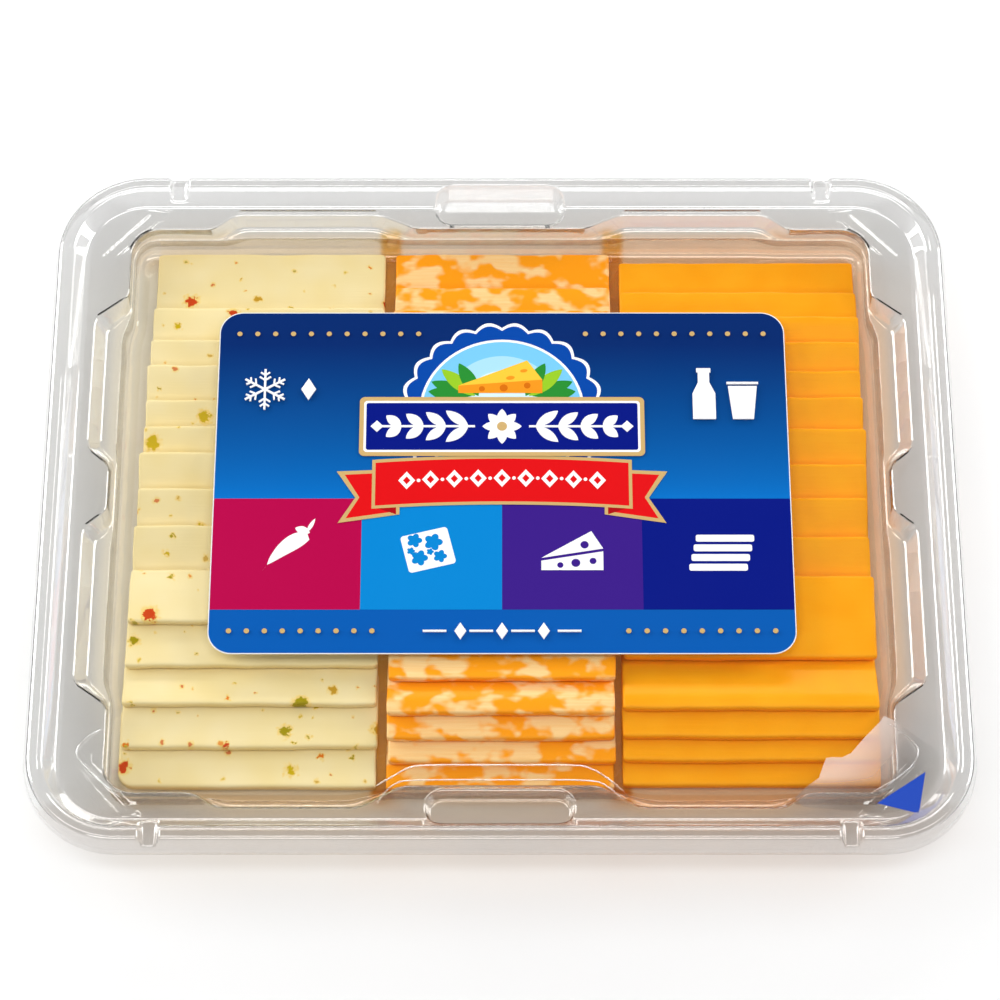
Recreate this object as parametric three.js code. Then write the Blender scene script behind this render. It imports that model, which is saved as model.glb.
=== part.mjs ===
// Sealed tray of sliced cheese: three shingled columns of slices in a clear
// thermoformed tray with a raised rim, a clear lidding film and a printed label.
// Millimetres, +Z up. The origin is the centre of the tray's underside, +X runs
// along the tray's length and -Y points to its front edge.

import * as THREE from "three";

// ---- tray: driving dimensions ----
const TRAY_LENGTH = 270; // left to right, over the rim
const TRAY_WIDTH = 218; // front to back, over the rim
const RIM_CORNER = 27.5; // plan radius of the rim's outer corners
const SHEET = 0.8; // thickness of the formed sheet
const LEDGE_Z = 13.8; // flat ledge that carries the film
const RIM_RISE = 5; // crown of the rim above the ledge
const SKIRT_DROP = 2.6; // lower edge of the rim's skirt below the ledge
const RIM_BAND = 10.2; // width of the rim, from its outer edge to the ledge
const LEDGE_FOLD = 0.9; // flat ledge kept beside the opening on both faces
const INNER_LEDGE_Y = 90; // nothing is pressed into the tray nearer its middle
const SHELF_Z = 8.4; // step inside the bays of the wall
const FOOT_Z = 2.2; // where the wall starts to round into the floor
const FLOOR_INSET = 1.8; // width of that rounding
const FLOOR_HUB = { x: 31, y: 17 }; // where the facets of the flat floor meet
const CORNER_STEPS = 6; // facets of a round corner
const BEND_EASE = 2.6; // how far from a bend of the outline its rounding starts
const BEND_STEPS = 2; // facets of such a bend

// Where the wall's bays begin and end: on the ledge, then in the bay.
const SIDE_BAYS = [
  { from: -64.5, out: -57.5, back: -9, to: -3.5 },
  { from: 12, out: 17.5, back: 61, to: 68.5 },
];
const BACK_BAY = { from: 26, out: 36.5, back: 81, to: 87.5 };
const FRONT_BAY = { from: 28, out: 39.5, back: 80, to: 86.5 };

// Half sizes of the outline at each level. The wall stands in at the corners
// and at the tabs, and out in the bays. pinch narrows the bays towards the floor.
const HALF_LENGTH = TRAY_LENGTH / 2;
const HALF_WIDTH = TRAY_WIDTH / 2;
const RIM_LINE = {
  side: { corner: HALF_LENGTH, bay: HALF_LENGTH, tab: HALF_LENGTH },
  back: { corner: HALF_WIDTH, bay: HALF_WIDTH, tab: HALF_WIDTH },
  front: { corner: HALF_WIDTH, bay: HALF_WIDTH, tab: HALF_WIDTH },
  round: RIM_CORNER,
  pinch: 0,
};
const OPENING = {
  side: { corner: 112.4, bay: 122.2, tab: 115.6 },
  back: { corner: 92.2, bay: 97.3, tab: 92.6 },
  front: { corner: 91.6, bay: 96.2, tab: 89.6 },
  round: 9,
  pinch: 0,
};
const STEP_OUTER = {
  side: { corner: 112, bay: 118.6, tab: 114.2 },
  back: { corner: 91.8, bay: 95.2, tab: 92.1 },
  front: { corner: 91.1, bay: 93.9, tab: 89.2 },
  round: 8.2,
  pinch: 2.2,
};
const STEP_INNER = {
  side: { corner: 111.8, bay: 114.4, tab: 113.8 },
  back: { corner: 91.6, bay: 92.4, tab: 91.9 },
  front: { corner: 90.9, bay: 91.8, tab: 89.0 },
  round: 7.6,
  pinch: 3.2,
};
const WALL_FOOT = {
  side: { corner: 111.5, bay: 113, tab: 113 },
  back: { corner: 91.3, bay: 91.6, tab: 91.6 },
  front: { corner: 90.5, bay: 90.9, tab: 88.8 },
  round: 6,
  pinch: 3.4,
};

// Round-ended pockets pressed into the tabs at the back and the front.
const POCKETS = [
  { y: 99.1, halfLength: 20, halfWidth: 5.6 },
  { y: -96.1, halfLength: 21.3, halfWidth: 5.3 },
];
const POCKET_DEPTH = 3.2; // below the ledge
const POCKET_SLOPE = 1.6; // plan width of the pocket's side
const POCKET_MARKS = [20.5, 19, 17, 14, 7]; // x of outline points beside a pocket

// Small channels that cross the rim near its corners.
const NOTCH_X = 98;
const NOTCH_HALF_WIDTH = 3.2;
const NOTCH_FLOOR = 1.6; // above the ledge
const NOTCH_MARKS = [3.2, 1.6, 0, -1.6, -3.2]; // outline points across a notch

// ---- film and label ----
const FILM_GAP = 0.15;
const FILM_THICKNESS = 0.4;
const FILM_INSET = RIM_BAND + 0.5;
const LABEL = { x: 0.6, y: 6.4, length: 169.3, width: 111.8, round: 7 };
const LABEL_THICKNESS = 0.3;
const LABEL_GAP = 0.1;

// ---- slices ----
const SLICE_THICKNESS = 2.9;
const SLICE_DEPTH = 24; // front to back
const SLICE_GAP = 0.15; // air between two slices
const LAY_STEP = 0.5; // spacing of the laying profile
const SIDE_JITTER = 0.35; // how far a slice is out of line sideways

// Each column is laid from its back edge and from its front edge towards the
// top slice, which covers both fans. Numbers are the y of the slices' showing
// edges, and the x of the column's sides at its back and at its front.
const COLUMNS = [
  {
    name: "pepper",
    color: 0xf3e3b2,
    back: [89, 68.5, 56.5, 47, 35, 26, 17, 5.5, -6.5],
    front: [-86, -75, -63, -51],
    top: { back: -20.5, front: -38 },
    left: [-104.6, -108.8],
    right: [-34.9, -35.2],
  },
  {
    name: "marble",
    color: 0xfcb648,
    back: [89, 75.5, 66, 55.5, 45.5, 35, 24.5, 13, 1, -13],
    front: [-86.5, -79.5, -73.5, -67],
    top: { back: -27, front: -56.5 },
    left: [-31.7, -32.3],
    right: [33.6, 32.7],
  },
  {
    name: "cheddar",
    color: 0xfca41c,
    back: [86, 74, 64, 54.5, 44.5, 35.5, 25, 13.5, 2.5, -10],
    front: [-85.5, -79, -73, -65.5],
    top: { back: -22.5, front: -48.5 },
    left: [36.6, 34.9],
    right: [108.3, 108.5],
  },
];

// ---- outlines of the tray ----

function insetPlan(plan, inset) {
  const move = (edge) => ({
    corner: edge.corner - inset,
    bay: edge.bay - inset,
    tab: edge.tab - inset,
  });
  return {
    side: move(plan.side),
    back: move(plan.back),
    front: move(plan.front),
    round: Math.max(plan.round - inset, 3),
    pinch: plan.pinch,
  };
}

// The bends of the right-hand side, from the front to the back.
function sideKnots({ side, pinch }) {
  return SIDE_BAYS.flatMap((bay, i) => [
    { x: i === 0 ? side.corner : side.tab, y: bay.from + pinch },
    { x: side.bay, y: bay.out + pinch },
    { x: side.bay, y: bay.back - pinch },
    { x: i === 0 ? side.tab : side.corner, y: bay.to - pinch },
  ]);
}

// The right half of the back or front edge, from its corner to its middle:
// the marks of the notch, the bay and the marks of the pocket.
function endKnots(edge, bay, pinch, sign) {
  return [
    ...NOTCH_MARKS.map((x) => ({ x: NOTCH_X + x, y: sign * edge.corner, mark: true })),
    { x: bay.to - pinch, y: sign * edge.corner },
    { x: bay.back - pinch, y: sign * edge.bay },
    { x: bay.out + pinch, y: sign * edge.bay },
    { x: bay.from + pinch, y: sign * edge.tab },
    ...POCKET_MARKS.map((x) => ({ x, y: sign * edge.tab, mark: true })),
  ];
}

function flipped(knots) {
  return knots.map((knot) => ({ ...knot, x: -knot.x }));
}

// All bends and marks of a plan, counter-clockwise. Every plan gives the same
// row of them, so the outlines of two levels match point by point.
function planKnots(plan) {
  const { side, back, front, round, pinch } = plan;
  const right = sideKnots(plan);
  const rear = endKnots(back, BACK_BAY, pinch, 1);
  const fore = endKnots(front, FRONT_BAY, pinch, -1);
  const middle = (edge, sign) => ({ x: 0, y: sign * edge.tab, mark: true });
  return [
    { x: side.corner, y: -front.corner, round },
    ...right,
    { x: side.corner, y: back.corner, round },
    ...rear,
    middle(back, 1),
    ...flipped(rear).reverse(),
    { x: -side.corner, y: back.corner, round },
    ...flipped(right).reverse(),
    { x: -side.corner, y: -front.corner, round },
    ...flipped(fore),
    middle(front, -1),
    ...[...fore].reverse(),
  ];
}

// A round or eased bend: a rational quadratic curve, which is a true arc when
// its two tangents are equally long. A mark stays a single point.
function bendPoints(before, knot, after) {
  const middle = new THREE.Vector2(knot.x, knot.y);
  if (knot.mark) return [middle];
  const into = middle.clone().sub(before).normalize();
  const out = new THREE.Vector2(after.x, after.y).sub(middle).normalize();
  const reach = knot.round ?? BEND_EASE;
  const steps = knot.round ? CORNER_STEPS : BEND_STEPS;
  const start = middle.clone().addScaledVector(into, -reach);
  const end = middle.clone().addScaledVector(out, reach);
  const weight = Math.sqrt((1 + into.dot(out)) / 2);
  return Array.from({ length: steps + 1 }, (_, i) => {
    const t = i / steps;
    const shares = [(1 - t) ** 2, 2 * t * (1 - t) * weight, t ** 2];
    const point = new THREE.Vector2();
    point.addScaledVector(start, shares[0]);
    point.addScaledVector(middle, shares[1]);
    point.addScaledVector(end, shares[2]);
    return point.divideScalar(shares[0] + shares[1] + shares[2]);
  });
}

function outline(plan) {
  const knots = planKnots(plan);
  return knots.flatMap((knot, i) => bendPoints(
    knots[(i + knots.length - 1) % knots.length],
    knot,
    knots[(i + 1) % knots.length],
  ));
}

// ---- tray ----

// The sheet as a row of levels, from the skirt's lower edge over the rim, across
// the ledge, down the wall and onto the floor. Each level is an outline on the
// upper face; out and down place its match on the lower face.
function trayLevels() {
  const crown = LEDGE_Z + RIM_RISE;
  const level = (plan, z, out, down) => ({
    upper: outline(plan).map((point) => pressedPoint(point, z, 0)),
    lower: outline(insetPlan(plan, -out)).map((point) => pressedPoint(point, z, down)),
  });
  const rim = (inset, z, out, down) => level(insetPlan(RIM_LINE, inset), z, out, down);
  const ledgeEdge = rim(RIM_BAND, LEDGE_Z, 0, SHEET);
  const innerLedge = level(insetPlan(OPENING, -LEDGE_FOLD), LEDGE_Z, 0, SHEET);
  const across = (share) => {
    const line = ledgeEdge.upper.map((point, i) => point.clone().lerp(innerLedge.upper[i], share));
    return {
      upper: line.map((point) => pressedPoint(point, LEDGE_Z, 0)),
      lower: line.map((point) => pressedPoint(point, LEDGE_Z, SHEET)),
    };
  };
  return [
    rim(0, LEDGE_Z - SKIRT_DROP, -SHEET, 0),
    rim(1.4, crown - 1, -0.7, 0.5),
    rim(3, crown, -0.2, SHEET),
    rim(4.8, crown - 0.2, 0, SHEET),
    rim(6.3, crown - 1.5, 0, SHEET),
    rim(8, crown - 3.4, 0, SHEET),
    ledgeEdge,
    across(0.35),
    across(0.7),
    innerLedge,
    level(OPENING, LEDGE_Z, SHEET, SHEET),
    level(insetPlan(OPENING, 0.4), LEDGE_Z - 0.9, SHEET, 0.5),
    level(STEP_OUTER, SHELF_Z, SHEET, SHEET),
    level(STEP_INNER, SHELF_Z - 0.3, SHEET, SHEET),
    level(WALL_FOOT, FOOT_Z, SHEET, 0.4),
    level(insetPlan(WALL_FOOT, FLOOR_INSET), SHEET, 0, SHEET),
  ];
}

// A point of the sheet with the pockets and notches pressed into it: on the
// upper face, or down below it.
function pressedPoint({ x, y }, z, down) {
  let height = z;
  if (Math.abs(y) > INNER_LEDGE_Y) {
    for (const pocket of POCKETS) {
      const beyond = Math.max(Math.abs(x) - (pocket.halfLength - pocket.halfWidth), 0);
      const depth = pocket.halfWidth - Math.hypot(beyond, y - pocket.y);
      const share = THREE.MathUtils.smoothstep(depth, 0, POCKET_SLOPE);
      height = Math.min(height, z + share * (LEDGE_Z - POCKET_DEPTH - z));
    }
    const beside = NOTCH_HALF_WIDTH - Math.abs(Math.abs(x) - NOTCH_X);
    const share = THREE.MathUtils.smoothstep(beside, 0, NOTCH_HALF_WIDTH / 2);
    height = Math.min(height, z + share * (LEDGE_Z + NOTCH_FLOOR - z));
  }
  return new THREE.Vector3(x, y, height - down);
}

function trayShell() {
  const levels = trayLevels();
  const upper = levels.map((level) => level.upper).reverse();
  return closedShell([...upper, ...levels.map((level) => level.lower)]);
}

// Closes a stack of rings: quads between neighbours, and a flat fan inside the
// first and the last ring. The first half of the rings is the upper face, from
// its inner edge outwards, and the second half the lower face on its way back.
// Both faces split their quads along the same diagonal, so they stay parallel.
function closedShell(rings) {
  const count = rings[0].length;
  const hubs = [rings[0][0], rings[rings.length - 1][0]].map(
    (point) => new THREE.Vector3(FLOOR_HUB.x, FLOOR_HUB.y, point.z),
  );
  const points = [...rings.flat(), ...hubs];
  const top = points.length - 2;
  const bottom = points.length - 1;
  const base = (rings.length - 1) * count;
  const index = [];
  for (let i = 0; i < count; i += 1) {
    const j = (i + 1) % count;
    for (let r = 0; r < base; r += count) {
      const [a, b, c, d] = [r + i, r + j, r + count + j, r + count + i];
      index.push(...(r < base / 2 ? [a, d, c, a, c, b] : [a, d, b, d, c, b]));
    }
    index.push(top, i, j);
    index.push(bottom, base + j, base + i);
  }
  const geometry = new THREE.BufferGeometry().setFromPoints(points);
  return geometry.setIndex(index);
}

// ---- film and label ----

function roundedRectangle(length, width, round) {
  const x = length / 2;
  const y = width / 2;
  const shape = new THREE.Shape();
  shape.moveTo(x, -y + round);
  shape.lineTo(x, y - round);
  shape.absarc(x - round, y - round, round, 0, Math.PI / 2);
  shape.lineTo(-x + round, y);
  shape.absarc(-x + round, y - round, round, Math.PI / 2, Math.PI);
  shape.lineTo(-x, -y + round);
  shape.absarc(-x + round, -y + round, round, Math.PI, 1.5 * Math.PI);
  shape.lineTo(x - round, -y);
  shape.absarc(x - round, -y + round, round, 1.5 * Math.PI, 2 * Math.PI);
  return shape;
}

function sheetGeometry(length, width, round, thickness) {
  return new THREE.ExtrudeGeometry(roundedRectangle(length, width, round), {
    depth: thickness,
    bevelEnabled: false,
    curveSegments: 8,
  });
}

function filmGeometry() {
  const length = TRAY_LENGTH - 2 * FILM_INSET;
  const width = TRAY_WIDTH - 2 * FILM_INSET;
  return sheetGeometry(length, width, RIM_CORNER - FILM_INSET, FILM_THICKNESS);
}

// ---- slices ----

// A small seeded generator, so that the slices lie the same way each time.
function seededRandom(seed) {
  let state = seed;
  return () => {
    state = (state * 1664525 + 1013904223) % 4294967296;
    return state / 4294967296;
  };
}

// Corners of the taut line that lies on top of the given heights.
function upperHull(points) {
  const hull = [];
  for (const point of points) {
    while (hull.length > 1) {
      const [a, b] = hull.slice(-2);
      const rise = (b.z - a.z) * (point.y - b.y);
      if (rise > (point.z - b.z) * (b.y - a.y)) break;
      hull.pop();
    }
    hull.push(point);
  }
  return hull;
}

function heightOnLine(line, y) {
  const next = Math.max(line.findIndex((point) => point.y >= y), 1);
  const a = line[next - 1];
  const b = line[next];
  return a.z + ((b.z - a.z) * (y - a.y)) / (b.y - a.y);
}

// Lays one slice from y0 to y1 on what is already there, raises the pile and
// returns the line of the slice's underside.
function laySlice(pile, y0, y1) {
  const under = pile.filter((point) => point.y >= y0 && point.y <= y1);
  const line = upperHull(under).map((point) => ({ y: point.y, z: point.z + SLICE_GAP }));
  for (const point of under) {
    point.z = heightOnLine(line, point.y) + SLICE_THICKNESS;
  }
  return line;
}

function emptyPile() {
  const reach = TRAY_WIDTH / 2;
  const count = (2 * reach) / LAY_STEP;
  return Array.from({ length: count + 1 }, (_, i) => ({ y: i * LAY_STEP - reach, z: SHEET }));
}

// A slice as a prism along X: its side view is the underside line and the same
// line raised by the slice's thickness.
function sliceGeometry(line, x0, x1) {
  const shape = new THREE.Shape(line.map((point) => new THREE.Vector2(point.y, point.z)));
  for (const point of [...line].reverse()) {
    shape.lineTo(point.y, point.z + SLICE_THICKNESS);
  }
  const geometry = new THREE.ExtrudeGeometry(shape, { depth: x1 - x0, bevelEnabled: false });
  const turn = new THREE.Matrix4().set(0, 0, 1, x0, 1, 0, 0, 0, 0, 1, 0, 0, 0, 0, 0, 1);
  return geometry.applyMatrix4(turn);
}

// Spans of a column's slices, in the order in which they are laid, each with
// its number counted from the back.
function columnSpans(column) {
  const total = column.back.length + column.front.length + 1;
  const back = column.back.map((y, i) => ({ y0: y - SLICE_DEPTH, y1: y, number: i + 1 }));
  const front = column.front.map((y, i) => ({ y0: y, y1: y + SLICE_DEPTH, number: total - i }));
  const top = { y0: column.top.front, y1: column.top.back, number: column.back.length + 1 };
  return [...back, ...front, top];
}

function columnSlices(column, seed) {
  const random = seededRandom(seed);
  const pile = emptyPile();
  const material = finish(column.color, 0.42);
  const total = column.back.length + column.front.length + 1;
  return columnSpans(column).map((span) => {
    const share = (span.number - 1) / (total - 1);
    const shift = SIDE_JITTER * (2 * random() - 1);
    const x0 = THREE.MathUtils.lerp(...column.left, share) + shift;
    const x1 = THREE.MathUtils.lerp(...column.right, share) + shift;
    const geometry = sliceGeometry(laySlice(pile, span.y0, span.y1), x0, x1);
    return piece(`${column.name}_slice_${String(span.number).padStart(2, "0")}`, geometry, material);
  });
}

// ---- assembly ----

function finish(color, roughness, opacity = 1) {
  return new THREE.MeshStandardMaterial({
    color,
    roughness,
    metalness: 0,
    opacity,
    transparent: opacity < 1,
  });
}

function piece(name, geometry, material) {
  const mesh = new THREE.Mesh(geometry, material);
  mesh.name = name;
  return mesh;
}

const group = new THREE.Group();
group.add(piece("tray", trayShell(), finish(0xe4e8ea, 0.08, 0.35)));

const film = piece("lidding_film", filmGeometry(), finish(0xf2f4f5, 0.1, 0.25));
film.position.set(0, 0, LEDGE_Z + FILM_GAP);
group.add(film);

const labelSheet = sheetGeometry(LABEL.length, LABEL.width, LABEL.round, LABEL_THICKNESS);
const label = piece("label", labelSheet, finish(0x0a58b0, 0.35));
label.position.set(LABEL.x, LABEL.y, LEDGE_Z + FILM_GAP + FILM_THICKNESS + LABEL_GAP);
group.add(label);

COLUMNS.forEach((column, i) => {
  group.add(...columnSlices(column, 11 + i));
});

export default group;
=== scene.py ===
"""Sealed tray of sliced cheese: clear formed tray, clear film, printed label and three columns of slices.

Shapes are worked out in millimetres, and add_piece turns them into metres. +X runs along the tray,
-Y points to its front edge and +Z up, as in the frame.
"""

import math
from typing import NamedTuple

import bpy
import numpy as np
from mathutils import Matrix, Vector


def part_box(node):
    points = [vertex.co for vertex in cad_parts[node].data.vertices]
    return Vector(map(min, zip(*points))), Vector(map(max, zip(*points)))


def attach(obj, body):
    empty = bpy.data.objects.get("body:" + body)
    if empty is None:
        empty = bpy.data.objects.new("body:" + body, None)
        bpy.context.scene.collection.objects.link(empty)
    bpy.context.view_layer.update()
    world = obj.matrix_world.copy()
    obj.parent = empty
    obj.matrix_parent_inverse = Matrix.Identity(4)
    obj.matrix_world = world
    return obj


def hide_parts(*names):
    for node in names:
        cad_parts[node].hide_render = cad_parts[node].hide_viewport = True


bl_info = {
    "name": "Sliced cheese tray",
    "version": (1, 0, 0),
    "blender": (4, 5, 0),
    "location": "3D View > Sidebar > Cheese Tray",
    "description": "Clear formed tray of sliced cheese with lidding film and a printed label",
    "category": "Add Mesh",
}

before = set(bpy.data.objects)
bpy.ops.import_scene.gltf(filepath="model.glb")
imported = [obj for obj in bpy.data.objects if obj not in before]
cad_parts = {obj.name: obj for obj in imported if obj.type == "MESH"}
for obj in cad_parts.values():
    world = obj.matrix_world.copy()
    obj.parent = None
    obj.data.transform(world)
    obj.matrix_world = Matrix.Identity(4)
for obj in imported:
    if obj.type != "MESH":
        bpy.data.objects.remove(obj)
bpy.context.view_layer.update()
MM = 0.001


def node_box(node):
    """Lowest and highest corner of a node of the frame, in millimetres."""
    low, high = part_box(node)
    return np.array(low) / MM, np.array(high) / MM


def nodes_of(kind):
    """Names of the slices of one cheese, from the back to the front."""
    return sorted(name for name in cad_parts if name.startswith(kind + "_slice"))


TRAY_HIGH = node_box("tray")[1]
FILM_LOW, FILM_HIGH = node_box("lidding_film")
LABEL_LOW, LABEL_HIGH = node_box("label")

# ---- tray, in millimetres ----
FILM_GAP = 0.15
LEDGE = FILM_LOW[2] - FILM_GAP
CROWN = TRAY_HIGH[2]
SKIRT = LEDGE - 2.6
SHELF = 8.4
SHELF_FALL = 0.3
FOOT = 2.2
FLOOR = 0.8
RIM_BAND = 10.2
RIM_CORNER = 27.5
LEDGE_FOLD = 1.2
LIP_INSET = 0.5
LIP_DROP = 0.363
FLOOR_INSET = 1.8
INNER_LEDGE_Y = 90.0
BEND_EASE = 2.6
CORNER_STEPS = 22
BEND_STEPS = 7
FOLD_STEPS = 3

# Where the bays of the wall start and end, as part of the outline: on the line of
# the corner, on the line of the bay, again on that line, and back.
SIDE_BAYS = ((-64.5, -57.5, -9.0, -3.5), (12.0, 17.5, 61.0, 68.5))
BACK_BAY = (26.0, 36.5, 81.0, 87.5)
FRONT_BAY = (28.0, 39.5, 80.0, 86.5)

POCKETS = ((99.1, 20.0, 5.6), (-96.1, 21.3, 5.3))
POCKET_DEPTH = 3.2
POCKET_SLOPE = 1.6
POCKET_MARKS = np.concatenate([np.arange(22.6, 12.5, -0.6), [9.0, 5.0, 1.5]])
# A shallow dip runs across the ledge at each corner: the line where it starts is given by the unit
# way across it and its distance from the tray's middle.
CORNER_DIP = 0.9
CORNER_DIP_WIDTH = 5.0
CORNER_DIP_EASE = 1.6
CORNER_DIP_LINE = (0.724, 0.689, 140.3)
NOTCH_X = 98.0
NOTCH_HALF_WIDTH = 3.2
NOTCH_FLOOR = 1.6
NOTCH_MARKS = NOTCH_X + np.linspace(4.2, -4.2, 15)


class Plan(NamedTuple):
    """Half sizes of the tray's outline at one level: corner, bay and tab of each edge."""

    side: tuple
    back: tuple
    front: tuple
    round: float
    pinch: float


def even_plan(half_length, half_width, corner):
    """A plain rounded rectangle as a plan whose features all line up."""
    return Plan((half_length,) * 3, (half_width,) * 3, (half_width,) * 3, corner, 0.0)


RIM_LINE = even_plan(TRAY_HIGH[0], TRAY_HIGH[1], RIM_CORNER)
OPENING = Plan((112.4, 122.2, 115.6), (92.2, 97.3, 92.6), (91.6, 96.2, 89.6), 9.0, 0.0)
STEP_OUTER = Plan((112.0, 118.6, 114.2), (91.8, 95.2, 92.1), (91.1, 93.9, 89.2), 8.2, 2.2)
STEP_INNER = Plan((111.8, 114.4, 113.8), (91.6, 92.4, 91.9), (90.9, 91.8, 89.0), 7.6, 3.2)
WALL_FOOT = Plan((111.5, 113.0, 113.0), (91.3, 91.6, 91.6), (90.5, 90.9, 88.8), 6.0, 3.4)


# ---- numbers and meshes ----


def smooth_step(value):
    """0 below 0, 1 above 1, and 3v² - 2v³ between."""
    share = np.clip(value, 0.0, 1.0)
    return share * share * (3.0 - 2.0 * share)


def linear(red, green, blue, alpha=1.0):
    """A colour given in 0 to 255 as the eye sees it, as linear light."""
    seen = np.array([red, green, blue]) / 255.0
    low = seen / 12.92
    high = ((seen + 0.055) / 1.055) ** 2.4
    return (*np.where(seen <= 0.04045, low, high).tolist(), alpha)


def add_piece(name, points, faces, material, replaces=(), sharp=None):
    """Makes a mesh of points in millimetres, gives it its material and hangs it on the frame."""
    mesh = bpy.data.meshes.new(name)
    lists = [face for group in faces for face in np.asarray(group).tolist()]
    mesh.from_pydata((np.asarray(points) * MM).tolist(), [], lists)
    mesh.update()
    mesh.shade_smooth()
    if sharp is not None:
        mesh.set_sharp_from_angle(angle=math.radians(sharp))
    mesh.materials.append(material)
    piece = bpy.data.objects.new(name, mesh)
    bpy.context.scene.collection.objects.link(piece)
    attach(piece, "root")
    if replaces:
        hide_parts(*replaces)
    return piece


def ring_quads(rows, count, flip=False):
    """Faces between neighbouring closed rings of count points, stored row after row."""
    row = np.arange(rows - 1)[:, None] * count
    here = np.arange(count)[None, :]
    there = np.roll(here, -1, axis=1)
    corners = (row + here, row + there, row + count + there, row + count + here)
    quads = np.stack(corners, axis=-1).reshape(-1, 4)
    return quads[:, ::-1] if flip else quads


# ---- outline of the tray ----


def side_knots(plan):
    """Bends of the right side from front to back, each as x, y and the ease of its rounding."""
    corner, bay_line, tab = plan.side
    knots = []
    for (start, out, back, end), (first, last) in zip(SIDE_BAYS, ((corner, tab), (tab, corner))):
        knots.append((first, start + plan.pinch, BEND_EASE))
        knots.append((bay_line, out + plan.pinch, BEND_EASE))
        knots.append((bay_line, back - plan.pinch, BEND_EASE))
        knots.append((last, end - plan.pinch, BEND_EASE))
    return knots


def end_knots(edge, bay, pinch, sign):
    """Bends and marks of the right half of the back or front edge, from its corner inwards."""
    corner, bay_line, tab = edge
    start, out, back, end = bay
    knots = [(x, sign * corner, 0.0) for x in NOTCH_MARKS]
    knots.append((end - pinch, sign * corner, BEND_EASE))
    knots.append((back - pinch, sign * bay_line, BEND_EASE))
    knots.append((out + pinch, sign * bay_line, BEND_EASE))
    knots.append((start + pinch, sign * tab, BEND_EASE))
    knots.extend((x, sign * tab, 0.0) for x in POCKET_MARKS)
    return knots


def mirrored(knots):
    """The same bends on the other side of the middle plane."""
    return [(-x, y, ease) for x, y, ease in knots]


def outline(plan):
    """Closed outline of a plan, counter-clockwise, as an array of x and y.

    Each bend becomes the rational quadratic curve through its two tangent points with the bend as
    its middle point and the cosine of half the turn as its weight: an arc where both tangents are
    equally long. A mark, a bend with no ease, stays one point.
    """
    corner_x = plan.side[0]
    back_y = plan.back[0]
    front_y = plan.front[0]
    right = side_knots(plan)
    rear = end_knots(plan.back, BACK_BAY, plan.pinch, 1.0)
    fore = end_knots(plan.front, FRONT_BAY, plan.pinch, -1.0)
    knots = [(corner_x, -front_y, plan.round), *right, (corner_x, back_y, plan.round)]
    knots += [*rear, *mirrored(rear)[::-1], (-corner_x, back_y, plan.round)]
    knots += [*mirrored(right)[::-1], (-corner_x, -front_y, plan.round)]
    knots += [*mirrored(fore), *fore[::-1]]
    table = np.array(knots)
    points = table[:, :2]
    inward = points - np.roll(points, 1, axis=0)
    outward = np.roll(points, -1, axis=0) - points
    inward /= np.linalg.norm(inward, axis=1, keepdims=True)
    outward /= np.linalg.norm(outward, axis=1, keepdims=True)
    weight = np.sqrt((1.0 + (inward * outward).sum(axis=1)) / 2.0)
    parts = []
    for point, ease, before, after, pull in zip(points, table[:, 2], inward, outward, weight):
        if ease == 0.0:
            parts.append(point[None, :])
            continue
        steps = CORNER_STEPS if ease == plan.round else BEND_STEPS
        t = np.linspace(0.0, 1.0, steps + 1)[:, None]
        shares = ((1.0 - t) ** 2, 2.0 * t * (1.0 - t) * pull, t**2)
        curve = shares[0] * (point - before * ease) + shares[1] * point
        curve = curve + shares[2] * (point + after * ease)
        parts.append(curve / (shares[0] + shares[1] + shares[2]))
    return np.concatenate(parts)


def inset(plan, distance):
    """The plan with every line moved inwards."""
    return Plan(
        tuple(size - distance for size in plan.side),
        tuple(size - distance for size in plan.back),
        tuple(size - distance for size in plan.front),
        max(plan.round - distance, 3.0),
        plan.pinch,
    )


# ---- tray ----


def pressed(points, z):
    """Height of the tray's upper face with the pockets and notches pressed into it.

    A pocket is a capsule: its depth share is a smooth step of how far a point lies inside it. A
    notch is the same across a strip of constant x. On the ledge a dip crosses each corner as a
    strip with a smooth step at both sides.
    """
    x, y = np.abs(points[:, 0]), points[:, 1]
    height = np.full(len(points), float(z))
    for middle, half_length, half_width in POCKETS:
        beyond = np.maximum(x - (half_length - half_width), 0.0)
        inside = half_width - np.hypot(beyond, y - middle)
        share = smooth_step(inside / POCKET_SLOPE)
        height = np.minimum(height, z + share * (LEDGE - POCKET_DEPTH - z))
    beside = NOTCH_HALF_WIDTH - np.abs(x - NOTCH_X)
    share = smooth_step(beside / (NOTCH_HALF_WIDTH / 2.0))
    height = np.minimum(height, z + share * (LEDGE + NOTCH_FLOOR - z))
    if z == LEDGE:
        past = CORNER_DIP_LINE[0] * x + CORNER_DIP_LINE[1] * np.abs(y) - CORNER_DIP_LINE[2]
        dip = smooth_step(past / CORNER_DIP_EASE) * smooth_step((CORNER_DIP_WIDTH - past) / CORNER_DIP_EASE)
        height -= CORNER_DIP * dip
        return height
    return np.where(np.abs(y) > INNER_LEDGE_Y, height, z)


# The rim's folds from its outer edge inwards: inset, height, and the ease of the fold.
RIM_FOLDS = (
    (0.0, SKIRT, 0.0), (0.35, SKIRT + 2.9, 0.5), (1.7, CROWN - 0.45, 0.5), (2.6, CROWN, 0.3),
    (4.5, CROWN - 0.06, 0.25), (5.1, CROWN - 0.46, 0.25), (5.9, CROWN - 0.62, 0.4),
    (9.4, LEDGE + 0.22, 0.4), (RIM_BAND, LEDGE, 0.35),
)
ROW_STEP = 0.62


def fold_curve(start, fold, end):
    """Points of the quadratic curve from start to end that has the fold as its middle point."""
    steps = np.linspace(0.0, 1.0, FOLD_STEPS + 1)
    return [(1 - t) ** 2 * start + 2 * t * (1 - t) * fold + t * t * end for t in steps]


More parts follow.
